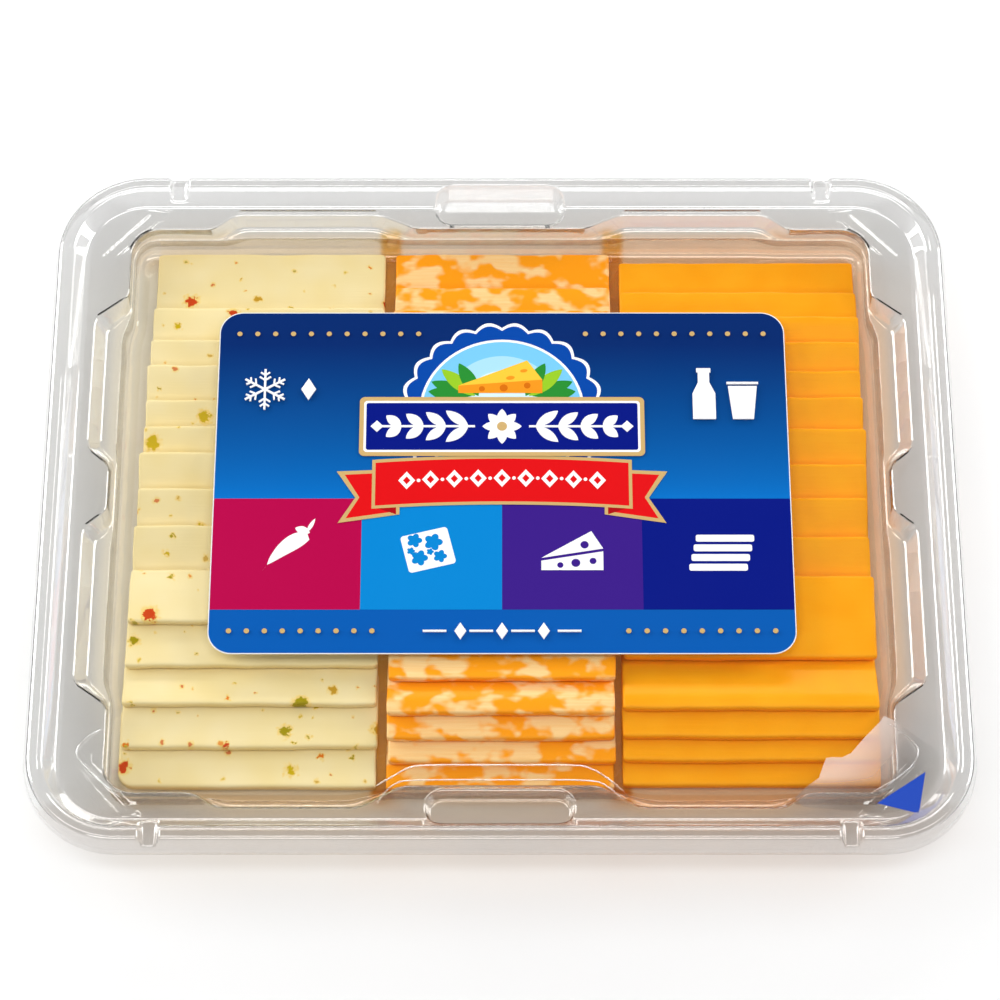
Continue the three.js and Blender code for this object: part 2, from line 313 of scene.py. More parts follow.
def rim_levels():
    """Rows over the rim, from its outer edge to the ledge, as an inset and a height.

    Flat facets meet in folds, and a fold is a quadratic curve over its ease on both sides.
    """
    folds = np.array([fold[:2] for fold in RIM_FOLDS] + [(RIM_BAND + 1.6, LEDGE)])
    levels = [folds[0]]
    for place in range(1, len(folds) - 1):
        here, ease = folds[place], RIM_FOLDS[place][2]
        before, after = folds[place - 1] - here, folds[place + 1] - here
        start = here + before * min(ease / np.linalg.norm(before), 0.45)
        end = here + after * min(ease / np.linalg.norm(after), 0.45)
        more = max(int(np.linalg.norm(start - levels[-1]) / ROW_STEP), 1)
        for share in np.linspace(0.0, 1.0, more + 1)[1:-1]:
            levels.append(levels[-1] + (start - levels[-1]) * share)
        levels.extend(fold_curve(start, here, end))
    return [(outline(inset(RIM_LINE, step)), height) for step, height in levels]


def rounded_rows(rows, eases):
    """Rows of points with the fold at each row replaced by a quadratic curve across it.

    The curve starts and ends at the ease's distance from the fold, or about halfway to the next
    row, and before the first fold up to four fifths of the way.
    """
    out = [rows[0]]
    for here, ease in enumerate(eases, 1):
        before = rows[here - 1] - rows[here]
        after = rows[here + 1] - rows[here]
        room_before = np.linalg.norm(before, axis=1, keepdims=True)
        room_after = np.linalg.norm(after, axis=1, keepdims=True)
        start = rows[here] + before * np.minimum(ease / room_before, 0.8 if here == 1 else 0.48)
        end = rows[here] + after * np.minimum(ease / room_after, 0.48)
        out.extend(fold_curve(start, rows[here], end))
    out.append(rows[-1])
    return out


def tray_upper():
    """The tray's upper face as rows of points, from the skirt's edge over the rim to the floor."""
    rim = rim_levels()
    edge = rim[-1][0]
    inner = outline(inset(OPENING, -LEDGE_FOLD))
    across = [edge + (inner - edge) * share for share in np.linspace(0.0, 1.0, 12)[1:]]
    flat = [(line, LEDGE) for line in across]
    rows = [np.column_stack([line, pressed(line, z)]) for line, z in rim + flat]
    folds = [
        (OPENING, LEDGE),
        (inset(OPENING, LIP_INSET), LEDGE - LIP_DROP),
        (STEP_OUTER, SHELF),
        (STEP_INNER, SHELF - SHELF_FALL),
        (inset(STEP_INNER, 0.7 * LIP_INSET), SHELF - SHELF_FALL - 0.7 * LIP_DROP),
        (WALL_FOOT, FOOT),
        (inset(WALL_FOOT, FLOOR_INSET), FLOOR),
        (inset(WALL_FOOT, FLOOR_INSET + 2.0), FLOOR),
    ]
    lower = []
    for plan, z in folds:
        line = outline(plan)
        lower.append(np.column_stack([line, np.full(len(line), z)]))
    eases = (0.16, 0.16, 1.2, 0.14, 0.14, 1.5, 1.2)
    return np.array(rows + rounded_rows([rows[-1], *lower], eases)[1:])


def grid_normals(grid):
    """Unit normals of rows of closed rings: the ring's direction crossed with the way inwards,
    then averaged twice with their neighbours so that a sheet's two faces never cross."""
    along = np.roll(grid, -1, axis=1) - np.roll(grid, 1, axis=1)
    inwards = np.gradient(grid, axis=0)
    normal = np.cross(along, inwards)
    normal /= np.linalg.norm(normal, axis=2, keepdims=True)
    for _ in range(2):
        normal = normal + 0.5 * (np.roll(normal, 1, axis=1) + np.roll(normal, -1, axis=1))
        padded = np.concatenate([normal[:1], normal, normal[-1:]])
        normal = normal + 0.5 * (padded[:-2] + padded[2:])
        normal /= np.linalg.norm(normal, axis=2, keepdims=True)
    return normal


def tray_mesh(thickness):
    """Points and faces of the formed sheet: the upper face, and the same face moved along its
    normals by the thickness of the sheet, which grows to the floor's own thickness at the floor."""
    upper = tray_upper()
    count = upper.shape[1]
    near_floor = smooth_step((FOOT + 1.5 - upper[:, :, 2:]) / 2.5)
    depth = thickness + (FLOOR - thickness) * near_floor
    lower = upper - grid_normals(upper) * depth
    lower[-1, :, 2] = 0.0
    lower[:, :, 2] = np.maximum(lower[:, :, 2], 0.0)
    rings = np.concatenate([upper[::-1], lower])
    last = (len(rings) - 1) * count + np.arange(count)
    faces = [ring_quads(len(rings), count, flip=True), np.arange(count)[None, :], last[::-1][None, :]]
    return rings.reshape(-1, 3), faces


# ---- film and label ----


def rounded_grid(half_x, half_y, corner, columns, rows):
    """A grid over a rounded rectangle, 12 steps wide along each corner: in the squares of the
    corners, points are drawn in so that squares about the corner's centre become circles."""
    turn = np.linspace(0.0, corner, 13)[:-1]
    x, y = [
        np.concatenate([turn - half, np.linspace(corner - half, half - corner, count), half - turn[::-1]])
        for half, count in ((half_x, columns), (half_y, rows))
    ]
    grid_x, grid_y = np.meshgrid(x, y)
    core_x = np.clip(grid_x, corner - half_x, half_x - corner)
    core_y = np.clip(grid_y, corner - half_y, half_y - corner)
    off_x, off_y = grid_x - core_x, grid_y - core_y
    reach = np.maximum(np.maximum(np.abs(off_x), np.abs(off_y)), 1e-9)
    shrink = np.where(np.hypot(off_x, off_y) > 0, reach / np.maximum(np.hypot(off_x, off_y), 1e-9), 1.0)
    return np.stack([core_x + off_x * shrink, core_y + off_y * shrink], axis=-1)


def plate(grid, low, high):
    """Points and faces of a thin closed sheet over a grid, between two heights (numbers or grids)."""
    rows, columns = grid.shape[:2]
    size = rows * columns
    heights = [np.broadcast_to(z, (rows, columns))[..., None] for z in (low, high)]
    points = np.concatenate([np.concatenate([grid, z], axis=-1).reshape(-1, 3) for z in heights])
    cell = np.arange(size).reshape(rows, columns)
    quads = np.stack([cell[:-1, :-1], cell[:-1, 1:], cell[1:, 1:], cell[1:, :-1]], axis=-1).reshape(-1, 4)
    border = np.concatenate([cell[0, :-1], cell[:-1, -1], cell[-1, :0:-1], cell[:0:-1, 0]])
    after = np.roll(border, -1)
    sides = np.stack([border, after, after + size, border + size], axis=-1)
    return points, [quads[:, ::-1], quads + size, sides]


# Creases of the film as corners of a line, their height and their half width.
FILM_CREASES = (
    (((97.7, 78.4), (106.6, 69.4)), 0.16, 0.9),
    (
        ((-104.0, -74.3), (-101.7, -79.5), (-98.2, -77.6), (-94.6, -81.0), (-90.8, -84.9), (-87.1, -90.9)),
        -0.16, 1.0,
    ),
    (((85.2, -90.9), (90.8, -83.4), (95.6, -78.9), (102.5, -75.2)), 0.12, 1.0),
    (((103.5, 86.1), (115.6, 73.9)), -0.12, 0.8),
)
# x of the gaps between the columns of slices.
COLUMN_GAPS = (-33.5, 34.5)
# Heights of the film's two faces over the underside of its node, and its grid's columns and rows.
FILM_FACES = (0.12, 0.24)
FILM_GRID = (150, 120)
BEAD_SIDES = 8


def distance_to_line(x, y, corners):
    """Distance of each point to a bent line: the least over its straight parts."""
    nearest = np.full(x.shape, np.inf)
    for (x0, y0), (x1, y1) in zip(corners, corners[1:]):
        along = ((x - x0) * (x1 - x0) + (y - y0) * (y1 - y0)) / ((x1 - x0) ** 2 + (y1 - y0) ** 2)
        along = np.clip(along, 0.0, 1.0)
        nearest = np.minimum(nearest, np.hypot(x - x0 - along * (x1 - x0), y - y0 - along * (y1 - y0)))
    return nearest


def film_relief(x, y):
    """Height of the film over flat: shallow sags between the columns of slices, slow waves, and
    creases as bell curves across bent lines. Sags and waves fade out at the sealed edge."""
    edge = smooth_step((FILM_HIGH[0] - np.abs(x)) / 14.0) * smooth_step((FILM_HIGH[1] - np.abs(y)) / 14.0)
    between = sum(np.exp(-(((x - gap) / 5.0) ** 2)) for gap in COLUMN_GAPS)
    waves = np.sin(x * 0.083 + 0.9 * np.sin(y * 0.041)) * np.sin(y * 0.067 + 1.3)
    height = edge * 0.10 * (waves - between)
    for corners, lift, width in FILM_CREASES:
        height = height + lift * np.exp(-((distance_to_line(x, y, corners) / width) ** 2))
    return height


# The torn edge of the peel corner from the front to the right, and its printed mark.
TORN_EDGE = (
    (85.0, -96.0), (82.8, -93.2), (86.9, -89.4), (89.8, -87.3), (91.1, -83.7), (92.1, -81.3), (93.8, -81.0),
    (96.6, -81.1), (99.2, -79.8), (103.1, -75.2), (107.8, -70.3), (109.1, -68.5), (111.6, -69.7),
)
PEEL_MARK = np.array([(119.9, -85.5), (105.8, -94.9), (117.4, -98.0)])
FILM_ROUND = 16.6


def peel_corner_outline():
    """Outline of the milky peel corner: its torn edge over the cheese, and the film's corner arc."""
    turn = np.radians(np.linspace(8.0, -90.0, 15))
    centre = np.array([FILM_HIGH[0] - FILM_ROUND, FILM_LOW[1] + FILM_ROUND])
    arc = centre + (FILM_ROUND - 0.4) * np.column_stack([np.cos(turn), np.sin(turn)])
    return np.concatenate([TORN_EDGE, arc])


# Raised ridges of the seal as corners of a line and their half width.
SEAL_RIDGES = (
    (
        (
            (-35.2, -89.9), (-30.7, -87.2), (-26.2, -84.3), (-22.3, -83.4), (-0.6, -83.4), (20.9, -83.4),
            (25.1, -84.0), (29.9, -87.0), (34.9, -91.4),
        ),
        0.24,
    ),
    (
        (
            (-34.5, -94.8), (-32.4, -91.4), (-29.3, -88.8), (-26.2, -87.9), (0.0, -87.9), (26.3, -87.9),
            (29.8, -89.4), (34.8, -93.8),
        ),
        0.2,
    ),
    (
        (
            (-112.8, -72.6), (-115.9, -74.0), (-118.5, -76.3), (-120.0, -79.2), (-118.7, -82.2),
            (-113.6, -87.3), (-106.3, -93.6),
        ),
        0.16,
    ),
    (((109.7, -70.5), (115.2, -74.6), (118.6, -78.1), (117.4, -82.5), (112.7, -87.0), (104.5, -91.7)), 0.16),
)


def ridge_mesh(corners, half_width, base):
    """Points and faces of a low clear bead along a bent line. Cutting the line's corners three
    times rounds it, and each point then carries a flat oval across the line's own direction."""
    line = np.array(corners)
    for _ in range(3):
        cut = np.stack([0.75 * line[:-1] + 0.25 * line[1:], 0.25 * line[:-1] + 0.75 * line[1:]], axis=1)
        line = np.concatenate([line[:1], cut.reshape(-1, 2), line[-1:]])
    way = np.gradient(line, axis=0)
    side = np.column_stack([-way[:, 1], way[:, 0]]) / np.linalg.norm(way, axis=1, keepdims=True)
    turn = np.arange(BEAD_SIDES) * 2.0 * math.pi / BEAD_SIDES
    reach = half_width * np.minimum(1.0, np.linspace(0.2, len(line) - 0.8, len(line)) / 6.0)
    reach = np.minimum(reach, reach[::-1])[:, None]
    across = line[:, None] + side[:, None] * (reach * np.cos(turn))[..., None]
    up = base + 0.7 * reach * np.sin(turn)
    points = np.concatenate([across, up[..., None]], axis=-1).reshape(-1, 3)
    end = np.arange(BEAD_SIDES)
    last = (len(line) - 1) * BEAD_SIDES + end
    return points, [ring_quads(len(line), BEAD_SIDES, flip=True), end[None, :], last[::-1][None, :]]


def all_ridges(base):
    """Every ridge of the seal as one mesh."""
    points, faces, first = [], [], 0
    for corners, half_width in SEAL_RIDGES:
        here, groups = ridge_mesh(corners, half_width, base)
        points.append(here)
        faces += [group + first for group in groups]
        first += len(here)
    return np.concatenate(points), faces


# ---- slices ----


class Section(NamedTuple):
    """Side view of a slice: the line of its underside over y, and its thickness."""

    y: np.ndarray
    low: np.ndarray
    thickness: float


def slice_section(node):
    """The underside line of a node of the frame, read from the corners of its left face."""
    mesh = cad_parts[node].data
    flat = np.empty(len(mesh.vertices) * 3, np.float32)
    mesh.vertices.foreach_get("co", flat)
    points = flat.reshape(-1, 3) / MM
    left = points[points[:, 0] < points[:, 0].min() + 0.01]
    y = np.unique(left[:, 1].round(2))
    near = np.abs(left[:, 1][None, :] - y[:, None]) < 0.02
    low = np.where(near, left[:, 2][None, :], np.inf).min(axis=1)
    high = np.where(near, left[:, 2][None, :], -np.inf).max(axis=1)
    return Section(y, low, float((high - low).mean()))


def draped(section, y, softness):
    """Height of the underside at y: the section's line, run on straight past its ends and then
    averaged over a bell curve, so that the slice bends instead of folding."""
    step = 0.1
    fine = np.arange(section.y[0] - 6.0, section.y[-1] + 6.0, step)
    height = np.interp(fine, section.y, section.low)
    first = (section.low[1] - section.low[0]) / (section.y[1] - section.y[0])
    last = (section.low[-1] - section.low[-2]) / (section.y[-1] - section.y[-2])
    height += np.minimum(fine - section.y[0], 0.0) * first + np.maximum(fine - section.y[-1], 0.0) * last
    bell_y = np.arange(-3.0 * softness, 3.0 * softness + step, step)
    bell = np.exp(-0.5 * (bell_y / softness) ** 2)
    smooth = np.convolve(height, bell / bell.sum(), mode="same")
    return np.interp(y, fine, smooth)


def slow_waves(values, rng, lengths, amplitude):
    """A seeded sum of sine waves of the given lengths."""
    total = np.zeros_like(values)
    for length in lengths:
        total += rng.uniform(-1.0, 1.0) * np.sin(values * 2.0 * math.pi / length + rng.uniform(0.0, 6.3))
    return amplitude * total


SLICE_ROUND = 0.75
SLICE_SOFTNESS = 0.9
SLICE_ROWS = 34
SLICE_COLUMNS = 30
SLICE_CORNER = 1.0
FRONT_CORNER = 5.0
CORNER_WAYS = 4


def slice_section_loop(section, radius):
    """A loop round a slice's section as points of a core rectangle and unit ways out of it, along
    the underside and back over the top, with a quarter circle of ways at each corner."""
    run = np.linspace(section.y[0] + radius, section.y[-1] - radius, SLICE_ROWS)
    floor_t, roof_t = radius, section.thickness - radius
    core = [np.column_stack([run, np.full_like(run, floor_t)])]
    way = [np.tile([0.0, -1.0], (len(run), 1))]
    low, high = run[0], run[-1]
    corners = ((high, floor_t, -0.5), (high, roof_t, 0.0), (low, roof_t, 0.5), (low, floor_t, 1.0))
    for y, t, start in corners:
        turns = (start + np.linspace(0.0, 0.5, CORNER_WAYS)) * math.pi
        core.append(np.tile([y, t], (CORNER_WAYS, 1)))
        way.append(np.column_stack([np.cos(turns), np.sin(turns)]))
        if start == 0.0:
            core.append(np.column_stack([run[::-1], np.full_like(run, roof_t)])[1:-1])
            way.append(np.tile([0.0, 1.0], (len(run) - 2, 1)))
    return np.concatenate(core)[1:-1], np.concatenate(way)[1:-1]


def slice_mesh(node, rng, front_corners):
    """Points, faces and grain of a slice: a rounded box bent to lie along its section.

    Across, it is a loop round a core rectangle at the rounding's radius; the loop shrinks by
    r(1 - cos a) while x runs r(1 - sin a) from the end, and the last loop is closed. Its sides draw
    in by r - sqrt(r² - (r - d)²) at a distance d from its ends, so its corners are round. Its height is
    added to the draped underside, and its edges wander by slow waves.
    """
    section = slice_section(node)
    low, high = node_box(node)
    radius = SLICE_ROUND
    core, way = slice_section_loop(section, radius)
    bow = np.linspace(0.0, math.pi / 2.0, 5)[1:]
    from_side, thinner = radius * (1.0 - np.sin(bow)), radius * (1.0 - np.cos(bow))
    middle = np.linspace(low[0] + radius, high[0] - radius, SLICE_COLUMNS)
    x = np.concatenate([low[0] + from_side[::-1], middle, high[0] - from_side])
    shrink = np.concatenate([thinner[::-1], np.zeros_like(middle), thinner])
    loops = core[None] + (radius - shrink)[:, None, None] * way[None]
    y, t = loops[..., 0], loops[..., 1]
    across = np.broadcast_to(x[:, None], y.shape)
    share = (y - section.y[0]) / (section.y[-1] - section.y[0])
    front = slow_waves(across, rng, (83.0, 41.0, 17.0), 0.12)
    back = slow_waves(across, rng, (79.0, 37.0, 19.0), 0.12)
    sides = slow_waves(y, rng, (31.0, 13.0), 0.10)
    z = draped(section, y, SLICE_SOFTNESS) + t
    half = (high[0] - low[0]) / 2.0
    offset = (across - low[0] - half) / half
    wide = across + sides * offset
    for side, corner in zip((-1.0, 1.0), front_corners):
        from_back = (section.y[-1] - y) * corner / SLICE_CORNER
        from_end = np.clip(np.minimum(y - section.y[0], from_back), 0.0, corner)
        drawn_in = corner - np.sqrt(np.maximum(corner**2 - (corner - from_end) ** 2, 0.0))
        wide = wide - side * drawn_in * np.clip(side * offset, 0.0, 1.0) ** 2
    points = np.stack([wide, y + front * (1.0 - share) + back * share, z], axis=-1)
    count = y.shape[1]
    end = (len(x) - 1) * count + np.arange(count)
    faces = [ring_quads(len(x), count), np.arange(count)[::-1][None, :], end[None, :]]
    grain = np.stack([across, y, t], axis=-1).reshape(-1, 3)
    return points.reshape(-1, 3), faces, grain


# ---- print on the label: shapes as closed outlines in millimetres from the label's middle ----

WHITE = linear(250, 250, 250)
ROYAL = linear(0, 70, 165)
GOLD = linear(206, 172, 112)
NAVY = linear(0, 20, 128)
RED = linear(222, 14, 20)
DEEP_RED = linear(170, 8, 18)
MAGENTA = linear(180, 0, 72)
SKY = linear(0, 131, 207)
PURPLE = linear(58, 26, 134)
PALE_SKY = linear(120, 200, 240)
LEAF = linear(40, 140, 50)
LIME = linear(150, 200, 40)
YOLK = linear(252, 200, 60)
AMBER = linear(244, 150, 30)

LABEL_X, LABEL_Y = (LABEL_LOW[:2] + LABEL_HIGH[:2]) / 2.0
LABEL_ROUND = 7.0
LABEL_BORDER = 0.28
LABEL_GRID = (30, 20)
INK_STEP = 0.006


def disc(x, y, radius, points=48):
    """A circle."""
    turn = np.arange(points) * 2.0 * math.pi / points
    return np.column_stack([x + radius * np.cos(turn), y + radius * np.sin(turn)])


def scalloped(x, y, radius, lobes, depth):
    """A circle whose radius swells by depth in a number of lobes: r + depth·|cos|."""
    turn = np.arange(lobes * 10) * 2.0 * math.pi / (lobes * 10)
    reach = radius + depth * np.abs(np.cos(turn * lobes / 2.0))
    return np.column_stack([x + reach * np.cos(turn), y + reach * np.sin(turn)])


def box(x0, y0, x1, y1):
    """A rectangle."""
    return np.array([(x0, y0), (x1, y0), (x1, y1), (x0, y1)])


def rounded_box(x0, y0, x1, y1, radius):
    """A rectangle with round corners: corner centres plus the radius along each corner's arc."""
    turn = np.linspace(0.0, math.pi / 2.0, 9)
    low_x, low_y, high_x, high_y = x0 + radius, y0 + radius, x1 - radius, y1 - radius
    centres = ((high_x, high_y), (low_x, high_y), (low_x, low_y), (high_x, low_y))
    parts = []
    for quarter, (x, y) in enumerate(centres):
        angle = turn + quarter * math.pi / 2.0
        parts.append(np.column_stack([x + radius * np.cos(angle), y + radius * np.sin(angle)]))
    return np.concatenate(parts)


def leaf(x, y, length, width, degrees):
    """A pointed leaf from x, y: half widths follow a half sine along its length."""
    along = np.linspace(0.0, 1.0, 15)
    half = 0.5 * width * np.sin(along * math.pi) ** 0.8
    there = np.column_stack([along * length, -half])
    back = np.column_stack([along * length, half])[-2:0:-1]
    return turned(np.concatenate([there, back]), x, y, degrees)


def turned(points, x, y, degrees):
    """Points turned about the origin and then moved to x, y."""
    angle = math.radians(degrees)
    turn = np.array([[math.cos(angle), math.sin(angle)], [-math.sin(angle), math.cos(angle)]])
    return points @ turn + (x, y)


def lozenge(x, y, half_x, half_y):
    """A diamond."""
    return np.array([(x + half_x, y), (x, y + half_y), (x - half_x, y), (x, y - half_y)])


def wave_band(half_length, low, high, lift):
    """A ribbon's panel: its long edges rise in the middle by lift·(1 - (x/half)²)."""
    x = np.linspace(-half_length, half_length, 25)
    arch = lift * (1.0 - (x / half_length) ** 2)
    return np.concatenate([np.column_stack([x, low + arch]), np.column_stack([x[::-1], high + arch[::-1]])])


def row_of_dots(first, last, y, count, radius):
    """Evenly spaced dots."""
    return [disc(x, y, radius, 14) for x in np.linspace(first, last, count)]


def snowflake(x, y, reach):
    """Six arms with two pairs of twigs each, as thin bars."""
    bars = []
    for arm in range(6):
        angle = 60.0 * arm + 30.0
        bars.append(turned(box(0.0, -0.32, reach, 0.32), x, y, angle))
        for place, twig in ((0.45, 0.3), (0.7, 0.24)):
            start = turned(np.array([[reach * place, 0.0]]), x, y, angle)[0]
            for side in (-55.0, 55.0):
                bars.append(turned(box(0.0, -0.26, reach * twig, 0.26), *start, angle + side))
    return bars


def bottle(x, y, height):
    """A milk bottle: a body, shoulders that narrow, and a neck."""
    half = height * 0.2
    neck = half * 0.5
    lip = neck * 1.25
    outer = ((half, 0.0), (half, 0.5), (neck, 0.72), (neck, 0.92), (lip, 0.92), (lip, 1.0))
    right = [(reach, share * height) for reach, share in outer]
    left = [(-reach, up) for reach, up in right[::-1]]
    return np.array(right + left) + (x, y)


def paint(tone, *shapes):
    """Shapes in one colour, as pairs of outline and colour."""
    return [(shape, tone) for shape in shapes]


def medallion_inks():
    """A scalloped rosette behind the plaque with a cheese wedge between two sprays of leaves."""
    y = 22.0
    inks = paint(WHITE, scalloped(0.0, y, 28.6, 22, 1.9)) + paint(ROYAL, scalloped(0.0, y, 27.6, 22, 1.8))
    inks += paint(WHITE, disc(0.0, y, 24.6, 72)) + paint(PALE_SKY, disc(0.0, y, 23.8, 72))
    inks += paint(linear(170, 222, 246), disc(0.0, y + 2.0, 17.0, 60))
    inks += paint(linear(214, 240, 250), disc(0.0, y + 3.0, 11.0, 48))
    leaves = ((9.0, 13.0, 22.0), (8.0, 13.5, 42.0), (7.0, 12.5, 62.0), (11.0, 11.0, 8.0))
    for side in (1.0, -1.0):
        for (place, reach, angle), tone in zip(leaves, (LEAF, LIME, LEAF, LEAF)):
            turn = angle if side > 0 else 180.0 - angle
            inks += paint(tone, leaf(side * place, 27.5, reach, 4.4, turn))
    inks += paint(AMBER, np.array([(-13.0, 28.5), (12.0, 28.5), (12.0, 33.0), (-13.0, 31.0)]))
    inks += paint(YOLK, np.array([(-13.0, 31.0), (12.0, 33.0), (7.5, 39.5)]))
    holes = ((-6.0, 29.9, 0.9), (0.5, 30.2, 1.2), (7.5, 31.0, 1.0))
    inks += paint(linear(214, 110, 10), *[disc(x, up, radius, 20) for x, up, radius in holes])
    for x, up, radius in ((2.5, 33.6, 1.3), (6.5, 36.0, 1.1)):
        inks += paint(AMBER, turned(disc(0.0, 0.0, radius, 20) * (1.0, 0.5), x, up, 8.0))
    return inks


def plaque_inks():
    """A bordered plaque with a rosette between two rows of leaves."""
    y = 17.2
    inks = paint(GOLD, rounded_box(-42.2, 7.4, 42.2, 27.0, 1.6))
    inks += paint(WHITE, rounded_box(-40.9, 8.7, 40.9, 25.7, 1.0))
    inks += paint(NAVY, rounded_box(-40.2, 9.4, 40.2, 25.0, 0.7))
    inks += paint(WHITE, *[leaf(0.0, y, 5.8, 3.0, 45.0 * petal) for petal in range(8)])
    inks += paint(GOLD, disc(0.0, y, 1.5, 20))
    for side in (1.0, -1.0):
        near, far = sorted((side * 8.0, side * 36.0))
        inks += paint(WHITE, box(near, y - 0.35, far, y + 0.35))
        for step in range(4):
            for lean in (38.0, -38.0):
                turn = lean if side > 0 else 180.0 - lean
                inks += paint(WHITE, leaf(side * (10.0 + 6.6 * step), y, 8.4 - 0.9 * step, 3.1, turn))
        inks += paint(WHITE, lozenge(side * 37.0, y, 1.9, 1.9))
    return inks


def ribbon_inks():
    """A red ribbon with gold edges: two swallow tails, their folds, and a panel in front."""
    tail = np.array([(30.0, -11.6), (48.0, -14.4), (43.0, -6.2), (48.6, 2.4), (30.0, 3.2)])
    inner = np.array([(31.0, -10.6), (45.7, -12.9), (41.8, -6.1), (46.2, 1.3), (31.0, 2.1)])
    fold = np.array([(31.0, -11.6), (37.0, -9.4), (31.0, -8.6)])
    inks = []
    for side in (1.0, -1.0):
        for shape, tone in ((tail, GOLD), (inner, RED), (fold, DEEP_RED)):
            inks += paint(tone, shape * (side, 1.0))
    inks += paint(GOLD, wave_band(38.2, -9.8, 6.2, 1.4)) + paint(RED, wave_band(37.2, -8.8, 5.2, 1.4))
    for step in range(-4, 5):
        x = step * 7.0
        y = -1.2 + 1.4 * (1.0 - (x / 38.0) ** 2)
        inks += paint(WHITE, lozenge(x, y, 2.5, 2.9)) + paint(RED, lozenge(x, y, 1.1, 1.3))
        if step < 4:
            inks += paint(WHITE, disc(x + 3.5, y, 0.55, 14))
    return inks


def field_inks():
    """Four fields of colour, each with the sign of one cheese: pod, marbled slice, wedge and pile."""
    low, high = -42.0, -6.4
    edges = (LABEL_LOW[0] - LABEL_X + 0.3, -41.0, 0.0, 40.8, LABEL_HIGH[0] - LABEL_X - 0.3)
    tones = (MAGENTA, SKY, PURPLE, NAVY)
    inks = [(box(x0, low, x1, high), tone) for x0, x1, tone in zip(edges, edges[1:], tones)]
    x, y = -62.5, -24.0
    cap, stalk = leaf(x + 6.5, y + 6.5, 4.6, 2.6, 160.0), leaf(x + 5.5, y + 6.5, 5.2, 1.2, 62.0)
    inks += paint(WHITE, pod(x, y), cap, stalk)
    x = -21.5
    inks += paint(WHITE, turned(rounded_box(-7.0, -6.0, 7.0, 6.0, 1.0), x, y + 1.0, 14.0))
    patches = ((-4.0, 3.0, 1.9), (1.5, 2.5, 2.3), (3.5, -2.0, 1.7))
    patches += ((-2.5, -2.6, 2.1), (-5.0, -0.4, 1.0), (0.6, -0.6, 0.9))
    for along, up, radius in patches:
        inks += paint(SKY, scalloped(x + along, y + 1.0 + up, radius * 0.8, 5, radius * 0.4))
    x = 20.4
    inks += paint(WHITE, np.array([(-9.0, -5.5), (9.0, -5.5), (9.0, 0.5), (-9.0, -2.5)]) + (x, y))
    inks += paint(WHITE, np.array([(-9.0, -1.6), (9.0, 1.4), (5.6, 7.0)]) + (x, y))
    holes = ((-3.5, -3.9, 0.9), (1.0, -3.2, 1.3), (6.0, -2.6, 1.0), (3.6, 2.6, 1.2))
    inks += paint(PURPLE, *[disc(x + along, y + up, radius, 20) for along, up, radius in holes])
    bar = rounded_box(-8.5, -1.1, 8.5, 1.1, 0.6)
    return inks + paint(WHITE, *[bar + (62.8 + 0.7 * step, y - 4.6 + 3.1 * step) for step in range(4)])


def pod(x, y):
    """A pepper pod: half widths that swell and then taper along a bent middle line."""
    along = np.linspace(0.0, 1.0, 21)
    middle = np.column_stack([6.0 - 13.0 * along, 5.5 - 4.0 * along - 7.0 * along**2])
    half = 2.9 * np.sin(np.clip(along * 1.04 + 0.08, 0.0, 1.0) * math.pi) ** 0.6 * (1.0 - 0.45 * along)
    slope = np.gradient(middle, axis=0)
    side = np.column_stack([-slope[:, 1], slope[:, 0]]) / np.linalg.norm(slope, axis=1, keepdims=True)
    there, back = middle + side * half[:, None], middle - side * half[:, None]
    return np.concatenate([there, back[::-1]])[::-1] + (x, y)


def small_inks():
    """The rows of dots, and plain signs: a snowflake, a bottle and a glass, and a row of diamonds."""
    dots = row_of_dots(-78.6, -25.0, 48.4, 11, 0.78) + row_of_dots(25.0, 78.3, 48.4, 11, 0.78)
    dots += row_of_dots(-78.6, -37.4, -48.9, 9, 0.78) + row_of_dots(36.4, 78.6, -48.9, 9, 0.78)
    inks = paint(GOLD, *dots) + paint(WHITE, *snowflake(-70.5, 29.5, 6.8))
    inks += paint(WHITE, lozenge(-57.5, 29.5, 2.2, 3.6), bottle(60.0, 19.5, 17.0))
    glass = np.array([(68.4, 19.5), (74.6, 19.5), (75.8, 30.5), (67.2, 30.5)])
    inks += paint(WHITE, glass, box(66.8, 31.2, 76.2, 31.9))
    inks += paint(WHITE, *[lozenge(x, -49.0, 1.7, 2.6) for x in (-12.0, 0.0, 12.0)])
    return inks + paint(WHITE, *[box(x - 3.4, -49.3, x + 3.4, -48.7) for x in (-19.4, -6.0, 6.0, 19.4)])


def prism_faces(first, count):
    """Bottom, top and sides of a prism whose outline points are stored below and then above."""
    here = np.arange(count)
    there = np.roll(here, -1)
    sides = np.stack([here, there, there + count, here + count], axis=-1) + first
    return [(here[::-1] + first)[None, :], (here + count + first)[None, :], sides]


def ink_mesh(inks, base):
    """Points, faces and colours of printed shapes: each outline is a thin prism, a hair higher
    than the one printed before it."""
    points, faces, tones = [], [], []
    first = 0
    for layer, (shape, tone) in enumerate(inks):
        top = base + 0.02 + INK_STEP * layer
        area = np.cross(np.append(shape, shape[:1], axis=0)[:-1], np.roll(shape, -1, axis=0)).sum()
        line = shape if area > 0 else shape[::-1]
        line = line + (LABEL_X, LABEL_Y)
        for z in (base - 0.05, top):
            points.append(np.column_stack([line, np.full(len(line), z)]))
        faces += prism_faces(first, len(line))
        tones.append(np.tile(tone, (2 * len(line), 1)))
        first += 2 * len(line)
    return np.concatenate(points), faces, np.concatenate(tones)


# ---- materials ----


def new_material(name):
    """A node material with its output and a Principled shader."""
    material = bpy.data.materials.new(name)
    material.use_nodes = True
    return material, material.node_tree, material.node_tree.nodes["Principled BSDF"]


